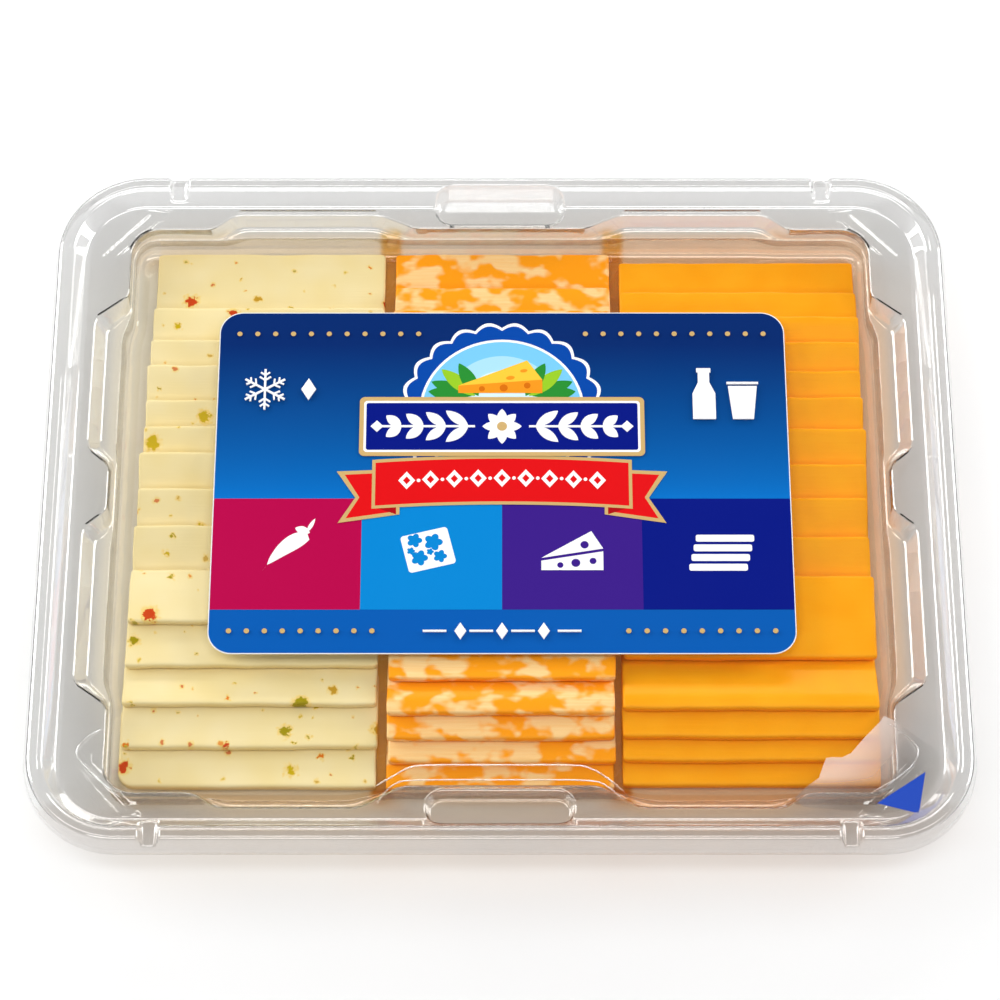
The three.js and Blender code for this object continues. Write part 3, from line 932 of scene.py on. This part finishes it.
def feed(tree, node, inputs):
    """Sets inputs of a node, by name or number, and links those whose value is a socket."""
    for key, value in inputs.items():
        if isinstance(value, bpy.types.NodeSocket):
            tree.links.new(value, node.inputs[key])
        else:
            node.inputs[key].default_value = value


def add_node(tree, kind, inputs=None, **settings):
    """A node with its properties and its inputs set."""
    node = tree.nodes.new(kind)
    for key, value in settings.items():
        setattr(node, key, value)
    feed(tree, node, inputs or {})
    return node


def math_node(tree, operation, *values):
    """The output of a Math node."""
    return add_node(tree, "ShaderNodeMath", dict(enumerate(values)), operation=operation).outputs[0]


def mix_colour(tree, share, first, second, blend="MIX"):
    """The output of a colour Mix node."""
    inputs = {0: share, 6: first, 7: second}
    return add_node(tree, "ShaderNodeMix", inputs, data_type="RGBA", blend_type=blend).outputs[2]


def ramp_between(tree, value, low, high):
    """Smooth step of a value from low to high."""
    inputs = {0: value, 1: low, 2: high}
    return add_node(tree, "ShaderNodeMapRange", inputs, interpolation_type="SMOOTHSTEP").outputs[0]


def noise(tree, vector, scale, detail, **more):
    """The value of a Noise texture."""
    inputs = {"Vector": vector, "Scale": scale, "Detail": detail, **more}
    return add_node(tree, "ShaderNodeTexNoise", inputs).outputs[0]


def object_place(tree):
    """The piece's own coordinates in metres: as a vector, and as x, y and z."""
    place = add_node(tree, "ShaderNodeTexCoord").outputs["Object"]
    axes = add_node(tree, "ShaderNodeSeparateXYZ", {0: place}).outputs
    return place, axes[0], axes[1], axes[2]


def add_relief(tree, shader, height, strength, distance):
    """Bumps in the shader's normal."""
    inputs = {"Height": height, "Strength": strength, "Distance": distance}
    feed(tree, shader, {"Normal": add_node(tree, "ShaderNodeBump", inputs).outputs[0]})


def show_blend(tree, share, first, second):
    """Shows a mix of two shaders; returns the Mix node."""
    blend = add_node(tree, "ShaderNodeMixShader", {0: share, 1: first.outputs[0], 2: second.outputs[0]})
    tree.links.new(blend.outputs[0], tree.nodes["Material Output"].inputs[0])
    return blend


def shader_group(name, numbers, results):
    """A node group that takes a vector and numbers, given with their defaults, and puts out
    values. Returns it with the sockets that it starts from and those that it ends in."""
    group = bpy.data.node_groups.new(name, "ShaderNodeTree")
    group.interface.new_socket("Vector", in_out="INPUT", socket_type="NodeSocketVector")
    for label, default in numbers.items():
        socket = group.interface.new_socket(label, in_out="INPUT", socket_type="NodeSocketFloat")
        socket.default_value = default
    for label in results:
        group.interface.new_socket(label, in_out="OUTPUT", socket_type="NodeSocketFloat")
    return group, group.nodes.new("NodeGroupInput").outputs, group.nodes.new("NodeGroupOutput").inputs


def cut_surface_group():
    """Relief of cut cheese: shallow streaks across the knife's path. Puts out a height for a Bump
    node, the streaks and a slow mottling."""
    group, start, end = shader_group("cut_surface", {"Streaks": 0.4}, ("Height", "Streak", "Mottle"))
    stretch = add_node(group, "ShaderNodeMapping", {"Vector": start["Vector"], "Scale": (0.06, 1.4, 1.4)})
    streak = noise(group, stretch.outputs[0], 1.0, 2.0)
    group.links.new(math_node(group, "MULTIPLY", streak, start["Streaks"]), end["Height"])
    group.links.new(streak, end["Streak"])
    group.links.new(noise(group, start["Vector"], 0.09, 1.0), end["Mottle"])
    return group


def flecks_group():
    """Scattered irregular flecks: cells of a wandering Voronoi pattern, some of them empty, each
    with its own size. Puts out the fleck's mask, its halo and a random number for its colour."""
    numbers = {"Cell": 13.0, "Smallest": 0.3, "Largest": 1.9, "Empty": 0.4, "Wander": 2.2}
    group, start, end = shader_group("pepper_flecks", numbers, ("Mask", "Halo", "Pick"))
    inputs = {"Vector": start["Vector"], "Scale": 0.7, "Detail": 2.0, "Roughness": 0.65}
    wobble = add_node(group, "ShaderNodeTexNoise", inputs).outputs["Color"]
    middle = (0.5, 0.5, 0.5)
    centred = add_node(group, "ShaderNodeVectorMath", {0: wobble, 1: middle}, operation="SUBTRACT").outputs[0]
    inputs = {0: centred, "Scale": start["Wander"]}
    moved = add_node(group, "ShaderNodeVectorMath", inputs, operation="SCALE").outputs[0]
    both = {0: start["Vector"], 1: moved}
    place = add_node(group, "ShaderNodeVectorMath", both, operation="ADD").outputs[0]
    inputs = {"Vector": place, "Scale": math_node(group, "DIVIDE", 1.0, start["Cell"])}
    cells = add_node(group, "ShaderNodeTexVoronoi", inputs, feature="F1", voronoi_dimensions="2D").outputs
    draw = add_node(group, "ShaderNodeSeparateColor", {0: cells["Color"]}).outputs
    distance = math_node(group, "MULTIPLY", cells["Distance"], start["Cell"])
    size = math_node(group, "POWER", draw[0], 1.9)
    spread = math_node(group, "SUBTRACT", start["Largest"], start["Smallest"])
    radius = math_node(group, "MULTIPLY_ADD", size, spread, start["Smallest"])
    filled = math_node(group, "GREATER_THAN", draw[1], start["Empty"])
    reach = math_node(group, "MULTIPLY", radius, filled)
    inner = math_node(group, "MULTIPLY", reach, 0.82)
    edge = math_node(group, "MAXIMUM", reach, 0.001)
    far = math_node(group, "MULTIPLY_ADD", reach, 1.5, 0.5)
    for label, outer in (("Mask", edge), ("Halo", far)):
        share = math_node(group, "SUBTRACT", 1.0, ramp_between(group, distance, inner, outer))
        group.links.new(math_node(group, "MULTIPLY", share, filled), end[label])
    group.links.new(draw[2], end["Pick"])
    return group


def cheese_base(name, group, bump, roughness, streaks):
    """A moist cheese material up to its colour: relief and gloss. Returns it with its tree, its
    shader, the grain's vector and the outputs of the relief group."""
    material, tree, shader = new_material(name)
    grain = add_node(tree, "ShaderNodeAttribute", attribute_name="grain").outputs["Vector"]
    inputs = {"Vector": grain, "Streaks": streaks}
    surface = add_node(tree, "ShaderNodeGroup", inputs, node_tree=group).outputs
    add_relief(tree, shader, surface["Height"], bump, 0.0002)
    gloss = math_node(tree, "MULTIPLY_ADD", surface["Mottle"], 0.16, roughness - 0.08)
    feed(tree, shader, {"Roughness": gloss, "IOR": 1.42, "Specular IOR Level": 0.16})
    return material, tree, shader, grain, surface


# Sizes of the two sorts of fleck in millimetres, the shares of their halos and of their own colour,
# and the colour of their halos.
LARGE_FLECKS = {"Cell": 12.5, "Smallest": 0.35, "Largest": 2.1, "Empty": 0.3, "Wander": 4.2}
SMALL_FLECKS = {"Cell": 8.5, "Smallest": 0.15, "Largest": 0.75, "Empty": 0.35, "Wander": 2.2}
FLECKS = ((LARGE_FLECKS, 0.75, 1.0, (238, 198, 84)), (SMALL_FLECKS, 0.6, 0.75, (238, 200, 90)))
# Colours of the flecks, each from its place on to the next one's.
FLECK_TONES = (
    (0.0, (158, 142, 6)),
    (0.3, (198, 168, 8)),
    (0.48, (200, 66, 16)),
    (0.7, (222, 116, 22)),
    (0.86, (196, 150, 40)),
)


def pepper_material(base_colour, surface_group, fleck_group):
    """Pale yellow cheese with green, red and orange flecks, each in a soft stained halo."""
    material, tree, shader, grain, surface = cheese_base("pepper_cheese", surface_group, 0.35, 0.4, 0.5)
    ground = mix_colour(tree, surface["Mottle"], base_colour, linear(238, 216, 150))
    inks = []
    for sizes, halo, share, stain in FLECKS:
        inputs = {"Vector": grain, **sizes}
        flecks = add_node(tree, "ShaderNodeGroup", inputs, node_tree=fleck_group).outputs
        tones = add_node(tree, "ShaderNodeValToRGB", {0: flecks["Pick"]})
        tones.color_ramp.interpolation = "CONSTANT"
        marks = tones.color_ramp.elements
        marks[1].position = FLECK_TONES[1][0]
        for position, _ in FLECK_TONES[2:]:
            marks.new(position)
        for mark, (_, tone) in zip(marks, FLECK_TONES):
            mark.color = linear(*tone)
        ground = mix_colour(tree, math_node(tree, "MULTIPLY", flecks["Halo"], halo), ground, linear(*stain))
        inks.insert(0, (math_node(tree, "MULTIPLY", flecks["Mask"], share), tones.outputs[0]))
    for share, tone in inks:
        ground = mix_colour(tree, share, ground, tone)
    feed(tree, shader, {"Base Color": ground})
    return material


def marble_material(orange, cream, surface_group):
    """Orange and cream cheese pressed together: the smooth step of a noise, stretched along x."""
    material, tree, shader, grain, surface = cheese_base("marble_cheese", surface_group, 0.35, 0.42, 0.3)
    stretch = add_node(tree, "ShaderNodeMapping", {"Vector": grain, "Scale": (0.72, 1.0, 1.0)})
    patches = noise(tree, stretch.outputs[0], 0.16, 2.0, Distortion=0.1)
    tint = mix_colour(tree, surface["Streak"], cream, linear(250, 190, 110))
    share = ramp_between(tree, patches, 0.45, 0.58)
    feed(tree, shader, {"Base Color": mix_colour(tree, share, orange, tint)})
    return material


def cheddar_material(colour, surface_group):
    """Even orange cheese, a little lighter in slow patches and with faint streaks."""
    material, tree, shader, _, surface = cheese_base("cheddar_cheese", surface_group, 0.4, 0.4, 0.8)
    patchy = mix_colour(tree, surface["Mottle"], colour, linear(255, 178, 26))
    faint = math_node(tree, "MULTIPLY", surface["Streak"], 0.25)
    feed(tree, shader, {"Base Color": mix_colour(tree, faint, patchy, linear(250, 148, 8))})
    return material


def clear_material(name, tint, ior):
    """Clear plastic: a glass shader with a glossy skin that lets rays from lamps and scattered
    light pass straight on. Returns it with its tree, both shaders, the share that passes and the
    Mix node that takes it."""
    material, tree, shader = new_material(name)
    inputs = {"Base Color": tint, "Roughness": 0.0, "IOR": ior, "Transmission Weight": 1.0}
    feed(tree, shader, {**inputs, "Coat Weight": 1.0, "Coat IOR": 1.8, "Coat Roughness": 0.0})
    clear = add_node(tree, "ShaderNodeBsdfTransparent", {0: tint})
    path = add_node(tree, "ShaderNodeLightPath").outputs
    passing = math_node(tree, "MAXIMUM", path["Is Shadow Ray"], path["Is Diffuse Ray"])
    return material, tree, shader, clear, passing, show_blend(tree, passing, shader, clear)


def film_material(tint):
    """Clear film: most rays pass straight through, and the rest hardly bend and mirror the lamps."""
    material, tree, _, _, passing, blend = clear_material("clear_film", tint, 1.005)
    feed(tree, blend, {0: math_node(tree, "MAXIMUM", passing, 0.84)})
    return material


# Painted light and shade in the sheet's tint: painted shade beside the gaps between the columns, with a
# painted orange reflection of the cheese; painted shade at the back wall; painted shade with a warm painted
# reflection at the front wall; a paler tint of painted light in the outer rim; and a darker grey of painted
# shade in the front rim.
GAP_PAINTED_SHADE = (0.92, 0.7, 0.3, 1.0)
BACK_PAINTED_SHADE = (0.92, 0.88, 0.84, 1.0)
FRONT_PAINTED_SHADE = (1.0, 0.91, 0.8, 1.0)
OUTER_RIM_PAINTED_LIGHT = (0.87, 0.87, 0.865, 1.0)
FRONT_RIM_PAINTED_SHADE = (0.75, 0.73, 0.715, 1.0)


def sheet_material(rim, pale, warm, ior):
    """Clear formed sheet: grey in the ledge, a darker grey of painted shade in the front rim, and paler by
    painted light in the rest of the rim.
    Inside it is tinted by a painted reflection of the cheese, from pale on the left to warm on the right, and
    deeper with painted shade between the columns and at the end walls.
    These tints also colour the rays that pass. Inside, a part of all rays passes straight on."""
    material, tree, shader, clear, passing, blend = clear_material("clear_sheet", rim, ior)
    _, x, y, z = object_place(tree)
    from_middle = math_node(tree, "ABSOLUTE", x)
    side = ramp_between(tree, from_middle, 0.1205, 0.1145)
    end = ramp_between(tree, math_node(tree, "ABSOLUTE", y), 0.0955, 0.0925)
    below = ramp_between(tree, z, (LEDGE - 1.0) * MM, (LEDGE - 5.0) * MM)
    inside = math_node(tree, "MULTIPLY", math_node(tree, "MULTIPLY", side, end), below)
    # Painted reflection of the cheese in the inner walls and floor: pale on the left, warm on the right.
    painted_reflection_tone = mix_colour(tree, ramp_between(tree, x, -0.06, 0.07), pale, warm)
    gaps = [math_node(tree, "ABSOLUTE", math_node(tree, "SUBTRACT", x, gap * MM)) for gap in COLUMN_GAPS]
    # Painted shade multiplied in: beside the gaps between the columns (with a painted orange reflection), at
    # the back wall, and at the front wall (warm).
    shades = (
        (ramp_between(tree, math_node(tree, "MINIMUM", *gaps), 0.0042, 0.0018), GAP_PAINTED_SHADE),
        (ramp_between(tree, y, 0.0815, 0.0895), BACK_PAINTED_SHADE),
        (ramp_between(tree, y, -0.0815, -0.0895), FRONT_PAINTED_SHADE),
    )
    for share, shade in shades:
        shade = mix_colour(tree, share, (1.0, 1.0, 1.0, 1.0), shade)
        painted_reflection_tone = mix_colour(tree, 1.0, painted_reflection_tone, shade, "MULTIPLY")
    # Painted light: the rim outside the ledge gets a paler tint.
    sides = ramp_between(tree, from_middle, 0.1235, 0.126)
    outer = math_node(tree, "MAXIMUM", sides, ramp_between(tree, y, 0.0985, 0.101))
    ledge = mix_colour(tree, outer, rim, OUTER_RIM_PAINTED_LIGHT)
    # Painted shade: the front rim gets a darker grey.
    ledge = mix_colour(tree, ramp_between(tree, y, -0.0955, -0.0985), ledge, FRONT_RIM_PAINTED_SHADE)
    tone = mix_colour(tree, inside, ledge, painted_reflection_tone)
    feed(tree, shader, {"Base Color": tone})
    feed(tree, clear, {0: tone})
    feed(tree, blend, {0: math_node(tree, "MAXIMUM", passing, math_node(tree, "MULTIPLY", inside, 0.3))})
    return material


def haze_material():
    """The milky layer of the peel corner: densest over the food and along its cut edge, thin
    towards the corner, and only on its upper face."""
    material, tree, shader = new_material("peel_haze")
    feed(tree, shader, {"Base Color": linear(250, 233, 224), "Roughness": 0.45})
    place, x, y, _ = object_place(tree)
    fading = ramp_between(tree, math_node(tree, "SUBTRACT", x, y), 0.204, 0.178)
    over_food = [ramp_between(tree, x, 0.1145, 0.1105), ramp_between(tree, y, -0.0905, -0.0865)]
    share = math_node(tree, "MULTIPLY_ADD", noise(tree, place, 60.0, 3.0), 0.1, 0.02)
    share = math_node(tree, "MULTIPLY_ADD", fading, 0.44, share)
    density = math_node(tree, "MULTIPLY_ADD", math_node(tree, "MULTIPLY", *over_food), 0.75, 0.25)
    upper = math_node(tree, "SUBTRACT", 1.0, add_node(tree, "ShaderNodeNewGeometry").outputs["Backfacing"])
    share = math_node(tree, "MULTIPLY", math_node(tree, "MULTIPLY", share, density), upper)
    show_blend(tree, share, add_node(tree, "ShaderNodeBsdfTransparent"), shader)
    return material


def label_material(top, bottom, band):
    """Printed film whose blue deepens towards the back edge, with a plain band at the front."""
    material, tree, shader = new_material("label_ground")
    place, _, y, _ = object_place(tree)
    inputs = {0: y, "From Min": (LABEL_Y - 6.5) * MM, "From Max": (LABEL_Y + 45.0) * MM}
    height = add_node(tree, "ShaderNodeMapRange", inputs).outputs[0]
    blue = mix_colour(tree, math_node(tree, "POWER", height, 0.62), bottom, top)
    in_band = math_node(tree, "LESS_THAN", y, (LABEL_Y - 40.0) * MM)
    feed(tree, shader, {"Base Color": mix_colour(tree, in_band, blue, band)})
    print_finish(tree, shader, place)
    return material


def print_finish(tree, shader, place):
    """Satin printed film: a slow ripple and a little unevenness in its gloss."""
    waves = noise(tree, place, 28.0, 2.0)
    add_relief(tree, shader, waves, 0.15, 0.002)
    gloss = math_node(tree, "MULTIPLY_ADD", waves, 0.12, 0.3)
    feed(tree, shader, {"Roughness": gloss, "Specular IOR Level": 0.12})


def ink_material(name):
    """Printed ink whose colour is stored with each shape."""
    material, tree, shader = new_material(name)
    tone = add_node(tree, "ShaderNodeAttribute", attribute_name="ink")
    feed(tree, shader, {"Base Color": tone.outputs["Color"]})
    print_finish(tree, shader, object_place(tree)[0])
    return material


def plain_material(name, colour, roughness):
    """One colour with a faint mottling."""
    material, tree, shader = new_material(name)
    cloud = noise(tree, object_place(tree)[0], 12.0, 2.0)
    darker = tuple(value * 0.96 for value in colour[:3]) + (1.0,)
    feed(tree, shader, {"Base Color": mix_colour(tree, cloud, colour, darker), "Roughness": roughness})
    return material


# ---- settings ----


def colour_property(name, description, default):
    """A colour that the sidebar shows."""
    return bpy.props.FloatVectorProperty(
        name=name, description=description, subtype="COLOR", size=4, min=0.0, max=1.0, default=default
    )


class CheeseTraySizes(bpy.types.PropertyGroup):
    """Sizes of the pieces that the frame leaves open."""

    sheet: bpy.props.FloatProperty(
        name="Sheet", description="Thickness of the formed sheet", default=0.42 * MM, unit="LENGTH"
    )
    seed: bpy.props.IntProperty(
        name="Seed", description="Start of the random draw for the slices' edges", default=7
    )


class CheeseTrayColours(bpy.types.PropertyGroup):
    """Colours of the cheeses, the label and the clear plastics."""

    pepper: colour_property("Pepper cheese", "Ground of the cheese with flecks", linear(243, 227, 180))
    orange: colour_property("Marble orange", "Orange half of the marbled cheese", linear(255, 160, 16))
    cream: colour_property("Marble cream", "Pale half of the marbled cheese", linear(255, 224, 166))
    cheddar: colour_property("Cheddar", "Even orange cheese", linear(249, 159, 4))
    label_top: colour_property("Label back", "Blue at the label's back edge", linear(0, 40, 106))
    label_bottom: colour_property("Label middle", "Blue above the four fields", linear(0, 114, 200))
    label_band: colour_property("Label band", "Blue of the front band", linear(0, 88, 174))
    sheet: colour_property("Tray sheet", "Tint of the clear sheet", (0.80, 0.795, 0.79, 1.0))
    # Painted reflection of the cheese, tinting the tray's inner walls and floor: pale beside the pale cheese,
    # warm beside the orange cheese.
    painted_reflection_pale: colour_property("Pale mirroring", "Tint beside the pale cheese", (0.98, 0.95, 0.88, 1.0))
    painted_reflection_warm: colour_property("Warm mirroring", "Tint beside the orange cheese", (0.98, 0.865, 0.745, 1.0))
    film: colour_property("Film", "Tint of the clear film", (0.995, 0.995, 0.99, 1.0))


# ---- operators ----


class CHEESETRAY_OT_tray(bpy.types.Operator):
    """Build the clear formed tray with its rim, pockets, notches, bays and floor"""

    bl_idname = "cheese_tray.tray"
    bl_label = "Tray"

    def execute(self, context):
        settings = context.scene
        points, faces = tray_mesh(settings.cheese_tray_sizes.sheet / MM)
        colours = settings.cheese_tray_colours
        clear = sheet_material(colours.sheet, colours.painted_reflection_pale, colours.painted_reflection_warm, 1.5)
        add_piece("formed_tray", points, faces, clear, ("tray",))
        return {"FINISHED"}


class CHEESETRAY_OT_film(bpy.types.Operator):
    """Build the clear lidding film with its creases, seal ridges, milky peel corner and blue mark"""

    bl_idname = "cheese_tray.film"
    bl_label = "Lidding film"

    def execute(self, context):
        colours = context.scene.cheese_tray_colours
        grid = rounded_grid(FILM_HIGH[0], FILM_HIGH[1], FILM_ROUND, *FILM_GRID)
        relief = film_relief(grid[..., 0], grid[..., 1])
        points, faces = plate(grid, *[FILM_LOW[2] + height + relief for height in FILM_FACES])
        clear = film_material(colours.film)
        add_piece("clear_lidding", points, faces, clear, ("lidding_film",), 40.0)
        mark_ink = plain_material("peel_mark_ink", linear(0, 66, 184), 0.4)
        shapes = (
            ("peel_corner", peel_corner_outline(), haze_material(), "clear_film"),
            ("peel_mark", PEEL_MARK, mark_ink, "printed_label"),
        )
        ridge_clear = clear_material("ridge_clear", colours.film, 1.6)[0]
        points, faces = all_ridges(FILM_HIGH[2] + 0.02)
        add_piece("seal_ridges", points, faces, ridge_clear)
        base = FILM_HIGH[2] - 0.08
        for name, line, material, slot in shapes:
            points, faces, _ = ink_mesh([(line - (LABEL_X, LABEL_Y), WHITE)], base)
            add_piece(name, points, faces, material, (), 30.0)
            base += 0.05
        return {"FINISHED"}


class CHEESETRAY_OT_label(bpy.types.Operator):
    """Build the label's sheet with its blue ground"""

    bl_idname = "cheese_tray.label"
    bl_label = "Label"

    def execute(self, context):
        colours = context.scene.cheese_tray_colours
        half = (LABEL_HIGH - LABEL_LOW) / 2.0
        middle = (LABEL_X, LABEL_Y)
        paper = plain_material("label_paper", linear(244, 246, 248), 0.4)
        grid = rounded_grid(half[0], half[1], LABEL_ROUND, *LABEL_GRID) + middle
        points, faces = plate(grid, LABEL_LOW[2], LABEL_HIGH[2] - 0.04)
        add_piece("label_sheet", points, faces, paper, ("label",), 40.0)
        ground = label_material(colours.label_top, colours.label_bottom, colours.label_band)
        half = half - LABEL_BORDER
        grid = rounded_grid(half[0], half[1], LABEL_ROUND - 0.2, *LABEL_GRID) + middle
        points, faces = plate(grid, LABEL_HIGH[2] - 0.06, LABEL_HIGH[2])
        add_piece("label_ground", points, faces, ground, (), 40.0)
        return {"FINISHED"}


class CHEESETRAY_OT_print(bpy.types.Operator):
    """Print the label's fields of colour, ribbon, plaque, rosette, dots and plain signs"""

    bl_idname = "cheese_tray.print"
    bl_label = "Label print"

    def execute(self, context):
        groups = {
            "print_fields": field_inks(),
            "print_rosette": medallion_inks(),
            "print_ribbon": ribbon_inks(),
            "print_plaque": plaque_inks(),
            "print_signs": small_inks(),
        }
        ink = ink_material("printed_ink")
        base = LABEL_HIGH[2]
        for name, inks in groups.items():
            points, faces, tones = ink_mesh(inks, base)
            piece = add_piece(name, points, faces, ink, (), 30.0)
            colours = piece.data.attributes.new("ink", "FLOAT_COLOR", "POINT")
            colours.data.foreach_set("color", tones.astype(np.float32).ravel())
            if name in ("print_rosette", "print_ribbon"):
                base = points[:, 2].max()
        return {"FINISHED"}


class SliceOperator:
    """What the three operators for slices share."""

    kind = ""
    front_corner = SLICE_CORNER

    def material(self, colours):
        """The material of this cheese."""
        raise NotImplementedError

    def execute(self, context):
        names = nodes_of(self.kind)
        if not names:
            raise RuntimeError(f"the frame has no {self.kind} slices")
        material = self.material(context.scene.cheese_tray_colours)
        for number, node in enumerate(names):
            rng = np.random.default_rng((context.scene.cheese_tray_sizes.seed, len(self.kind), number))
            last = number == len(names) - 1
            corners = (self.front_corner if last else SLICE_CORNER, SLICE_CORNER)
            points, faces, grain = slice_mesh(node, rng, corners)
            piece = add_piece(node + "_cut", points, faces, material, (node,), 50.0)
            shift = rng.uniform(-400.0, 400.0, 3)
            values = piece.data.attributes.new("grain", "FLOAT_VECTOR", "POINT")
            values.data.foreach_set("vector", (grain + shift).astype(np.float32).ravel())
        return {"FINISHED"}


def surface_relief():
    """The shared relief group, made once."""
    return bpy.data.node_groups.get("cut_surface") or cut_surface_group()


class CHEESETRAY_OT_pepper(SliceOperator, bpy.types.Operator):
    """Build the column of pale slices with flecks"""

    bl_idname = "cheese_tray.pepper"
    bl_label = "Pepper slices"
    kind = "pepper"
    front_corner = FRONT_CORNER

    def material(self, colours):
        return pepper_material(colours.pepper, surface_relief(), flecks_group())


class CHEESETRAY_OT_marble(SliceOperator, bpy.types.Operator):
    """Build the column of marbled slices"""

    bl_idname = "cheese_tray.marble"
    bl_label = "Marble slices"
    kind = "marble"

    def material(self, colours):
        return marble_material(colours.orange, colours.cream, surface_relief())


class CHEESETRAY_OT_cheddar(SliceOperator, bpy.types.Operator):
    """Build the column of even orange slices"""

    bl_idname = "cheese_tray.cheddar"
    bl_label = "Cheddar slices"
    kind = "cheddar"

    def material(self, colours):
        return cheddar_material(colours.cheddar, surface_relief())


# The camera's angle over the floor in degrees, its distance in metres, and its lens in millimetres.
CAMERA_ELEVATION = 64.0
CAMERA_DISTANCE = 0.982
CAMERA_LENS = 120.6
SENSOR = 36.0
# Strength of the surrounding's light: low down, overhead, and the share that is left in front.
WORLD_HORIZON = 0.7
WORLD_ZENITH = 0.16
WORLD_FRONT = 0.45
LAMPS = (
    # name, place in metres, way of its long side, length and width in metres, watts
    ("panel_left", (-0.95, 0.35, 0.45), (0.0, 1.0, 0.0), (0.66, 0.6), 7.2),
    ("panel_right", (0.97, 0.3, 0.43), (0.0, 1.0, 0.0), (0.66, 0.56), 5.8),
    ("panel_back", (0.0, 1.15, 0.48), (1.0, 0.0, 0.0), (1.4, 0.27), 6.4),
    ("panel_above", (-0.05, -0.1, 1.25), (1.0, 0.0, 0.0), (1.5, 0.36), 6.0),
    ("panel_front", (-0.1, -0.95, 0.95), (1.0, 0.0, 0.0), (1.1, 0.36), 4.6),
)


class CHEESETRAY_OT_stage(bpy.types.Operator):
    """Set the pale floor, the soft lamps and the camera"""

    bl_idname = "cheese_tray.stage"
    bl_label = "Stage"

    def execute(self, context):
        scene = context.scene
        scene.view_settings.view_transform = "Standard"
        add_floor()
        add_world()
        add_lamps()
        scene.camera = add_camera()
        return {"FINISHED"}


def add_floor():
    """A large pale square under the tray."""
    reach = 1.3
    mesh = bpy.data.meshes.new("floor")
    corners = [(-reach, -reach, 0.0), (reach, -reach, 0.0), (reach, reach, 0.0), (-reach, reach, 0.0)]
    mesh.from_pydata(corners, [], [(0, 1, 2, 3)])
    mesh.materials.append(plain_material("floor_pale", (0.96, 0.96, 0.96, 1.0), 0.9))
    floor = bpy.data.objects.new("floor", mesh)
    bpy.context.scene.collection.objects.link(floor)


def add_world():
    """A white surrounding: pale low down, darker overhead and dimmer in front."""
    world = bpy.data.worlds.new("studio")
    bpy.context.scene.world = world
    world.use_nodes = True
    tree = world.node_tree
    way = add_node(tree, "ShaderNodeTexCoord").outputs["Generated"]
    axes = add_node(tree, "ShaderNodeSeparateXYZ", {0: way}).outputs
    rise = ramp_between(tree, axes[2], 0.02, 0.45)
    front = ramp_between(tree, axes[1], -0.2, -0.8)
    light = math_node(tree, "MULTIPLY_ADD", rise, WORLD_ZENITH - WORLD_HORIZON, WORLD_HORIZON)
    dimmer = math_node(tree, "MULTIPLY_ADD", front, WORLD_FRONT - 1.0, 1.0)
    light = math_node(tree, "MULTIPLY", light, dimmer)
    feed(tree, tree.nodes["Background"], {0: (1.0, 1.0, 1.0, 1.0), 1: light})


def add_lamps():
    """Soft rectangular lamps, each turned so that its back points away from the tray."""
    for name, place, along, size, power in LAMPS:
        lamp = bpy.data.lights.new(name, "AREA")
        lamp.shape = "RECTANGLE"
        lamp.size, lamp.size_y = size
        lamp.energy = power
        holder = bpy.data.objects.new(name, lamp)
        away = Vector(place).normalized()
        side = Vector(along)
        side = (side - away * side.dot(away)).normalized()
        turn = Matrix((side, away.cross(side), away)).transposed()
        holder.location = place
        holder.rotation_euler = turn.to_euler()
        bpy.context.scene.collection.objects.link(holder)


def add_camera():
    """The camera, aimed at the middle of the ledge from the front and above."""
    data = bpy.data.cameras.new("camera")
    data.lens = CAMERA_LENS
    data.sensor_width = SENSOR
    camera = bpy.data.objects.new("camera", data)
    rise = math.radians(CAMERA_ELEVATION)
    back = Vector((0.0, -math.cos(rise), math.sin(rise)))
    camera.location = Vector((0.0, 0.0, LEDGE * MM)) + back * CAMERA_DISTANCE
    camera.rotation_euler = back.to_track_quat("Z", "Y").to_euler()
    bpy.context.scene.collection.objects.link(camera)
    return camera


# ---- sidebar ----

OPERATORS = (
    CHEESETRAY_OT_stage,
    CHEESETRAY_OT_tray,
    CHEESETRAY_OT_film,
    CHEESETRAY_OT_label,
    CHEESETRAY_OT_print,
    CHEESETRAY_OT_pepper,
    CHEESETRAY_OT_marble,
    CHEESETRAY_OT_cheddar,
)


class CHEESETRAY_PT_panel(bpy.types.Panel):
    """Sizes, colours and pieces of the cheese tray"""

    bl_label = "Cheese Tray"
    bl_idname = "CHEESETRAY_PT_panel"
    bl_space_type = "VIEW_3D"
    bl_region_type = "UI"
    bl_category = "Cheese Tray"

    def draw(self, context):
        column = self.layout.column()
        for settings in (context.scene.cheese_tray_sizes, context.scene.cheese_tray_colours):
            for name in settings.bl_rna.properties.keys():
                if name not in ("rna_type", "name"):
                    column.prop(settings, name)
        for operator in OPERATORS:
            column.operator(operator.bl_idname)


CLASSES = (CheeseTraySizes, CheeseTrayColours, *OPERATORS, CHEESETRAY_PT_panel)


def register():
    """Adds the classes and the scene's settings."""
    for kind in CLASSES:
        bpy.utils.register_class(kind)
    bpy.types.Scene.cheese_tray_sizes = bpy.props.PointerProperty(type=CheeseTraySizes)
    bpy.types.Scene.cheese_tray_colours = bpy.props.PointerProperty(type=CheeseTrayColours)


def unregister():
    """Takes them away again."""
    del bpy.types.Scene.cheese_tray_colours
    del bpy.types.Scene.cheese_tray_sizes
    for kind in reversed(CLASSES):
        bpy.utils.unregister_class(kind)


def main():
    """Builds every piece and the stage."""
    register()
    for operator in OPERATORS:
        group, name = operator.bl_idname.split(".")
        getattr(getattr(bpy.ops, group), name)()


if __name__ == "__main__":
    main()
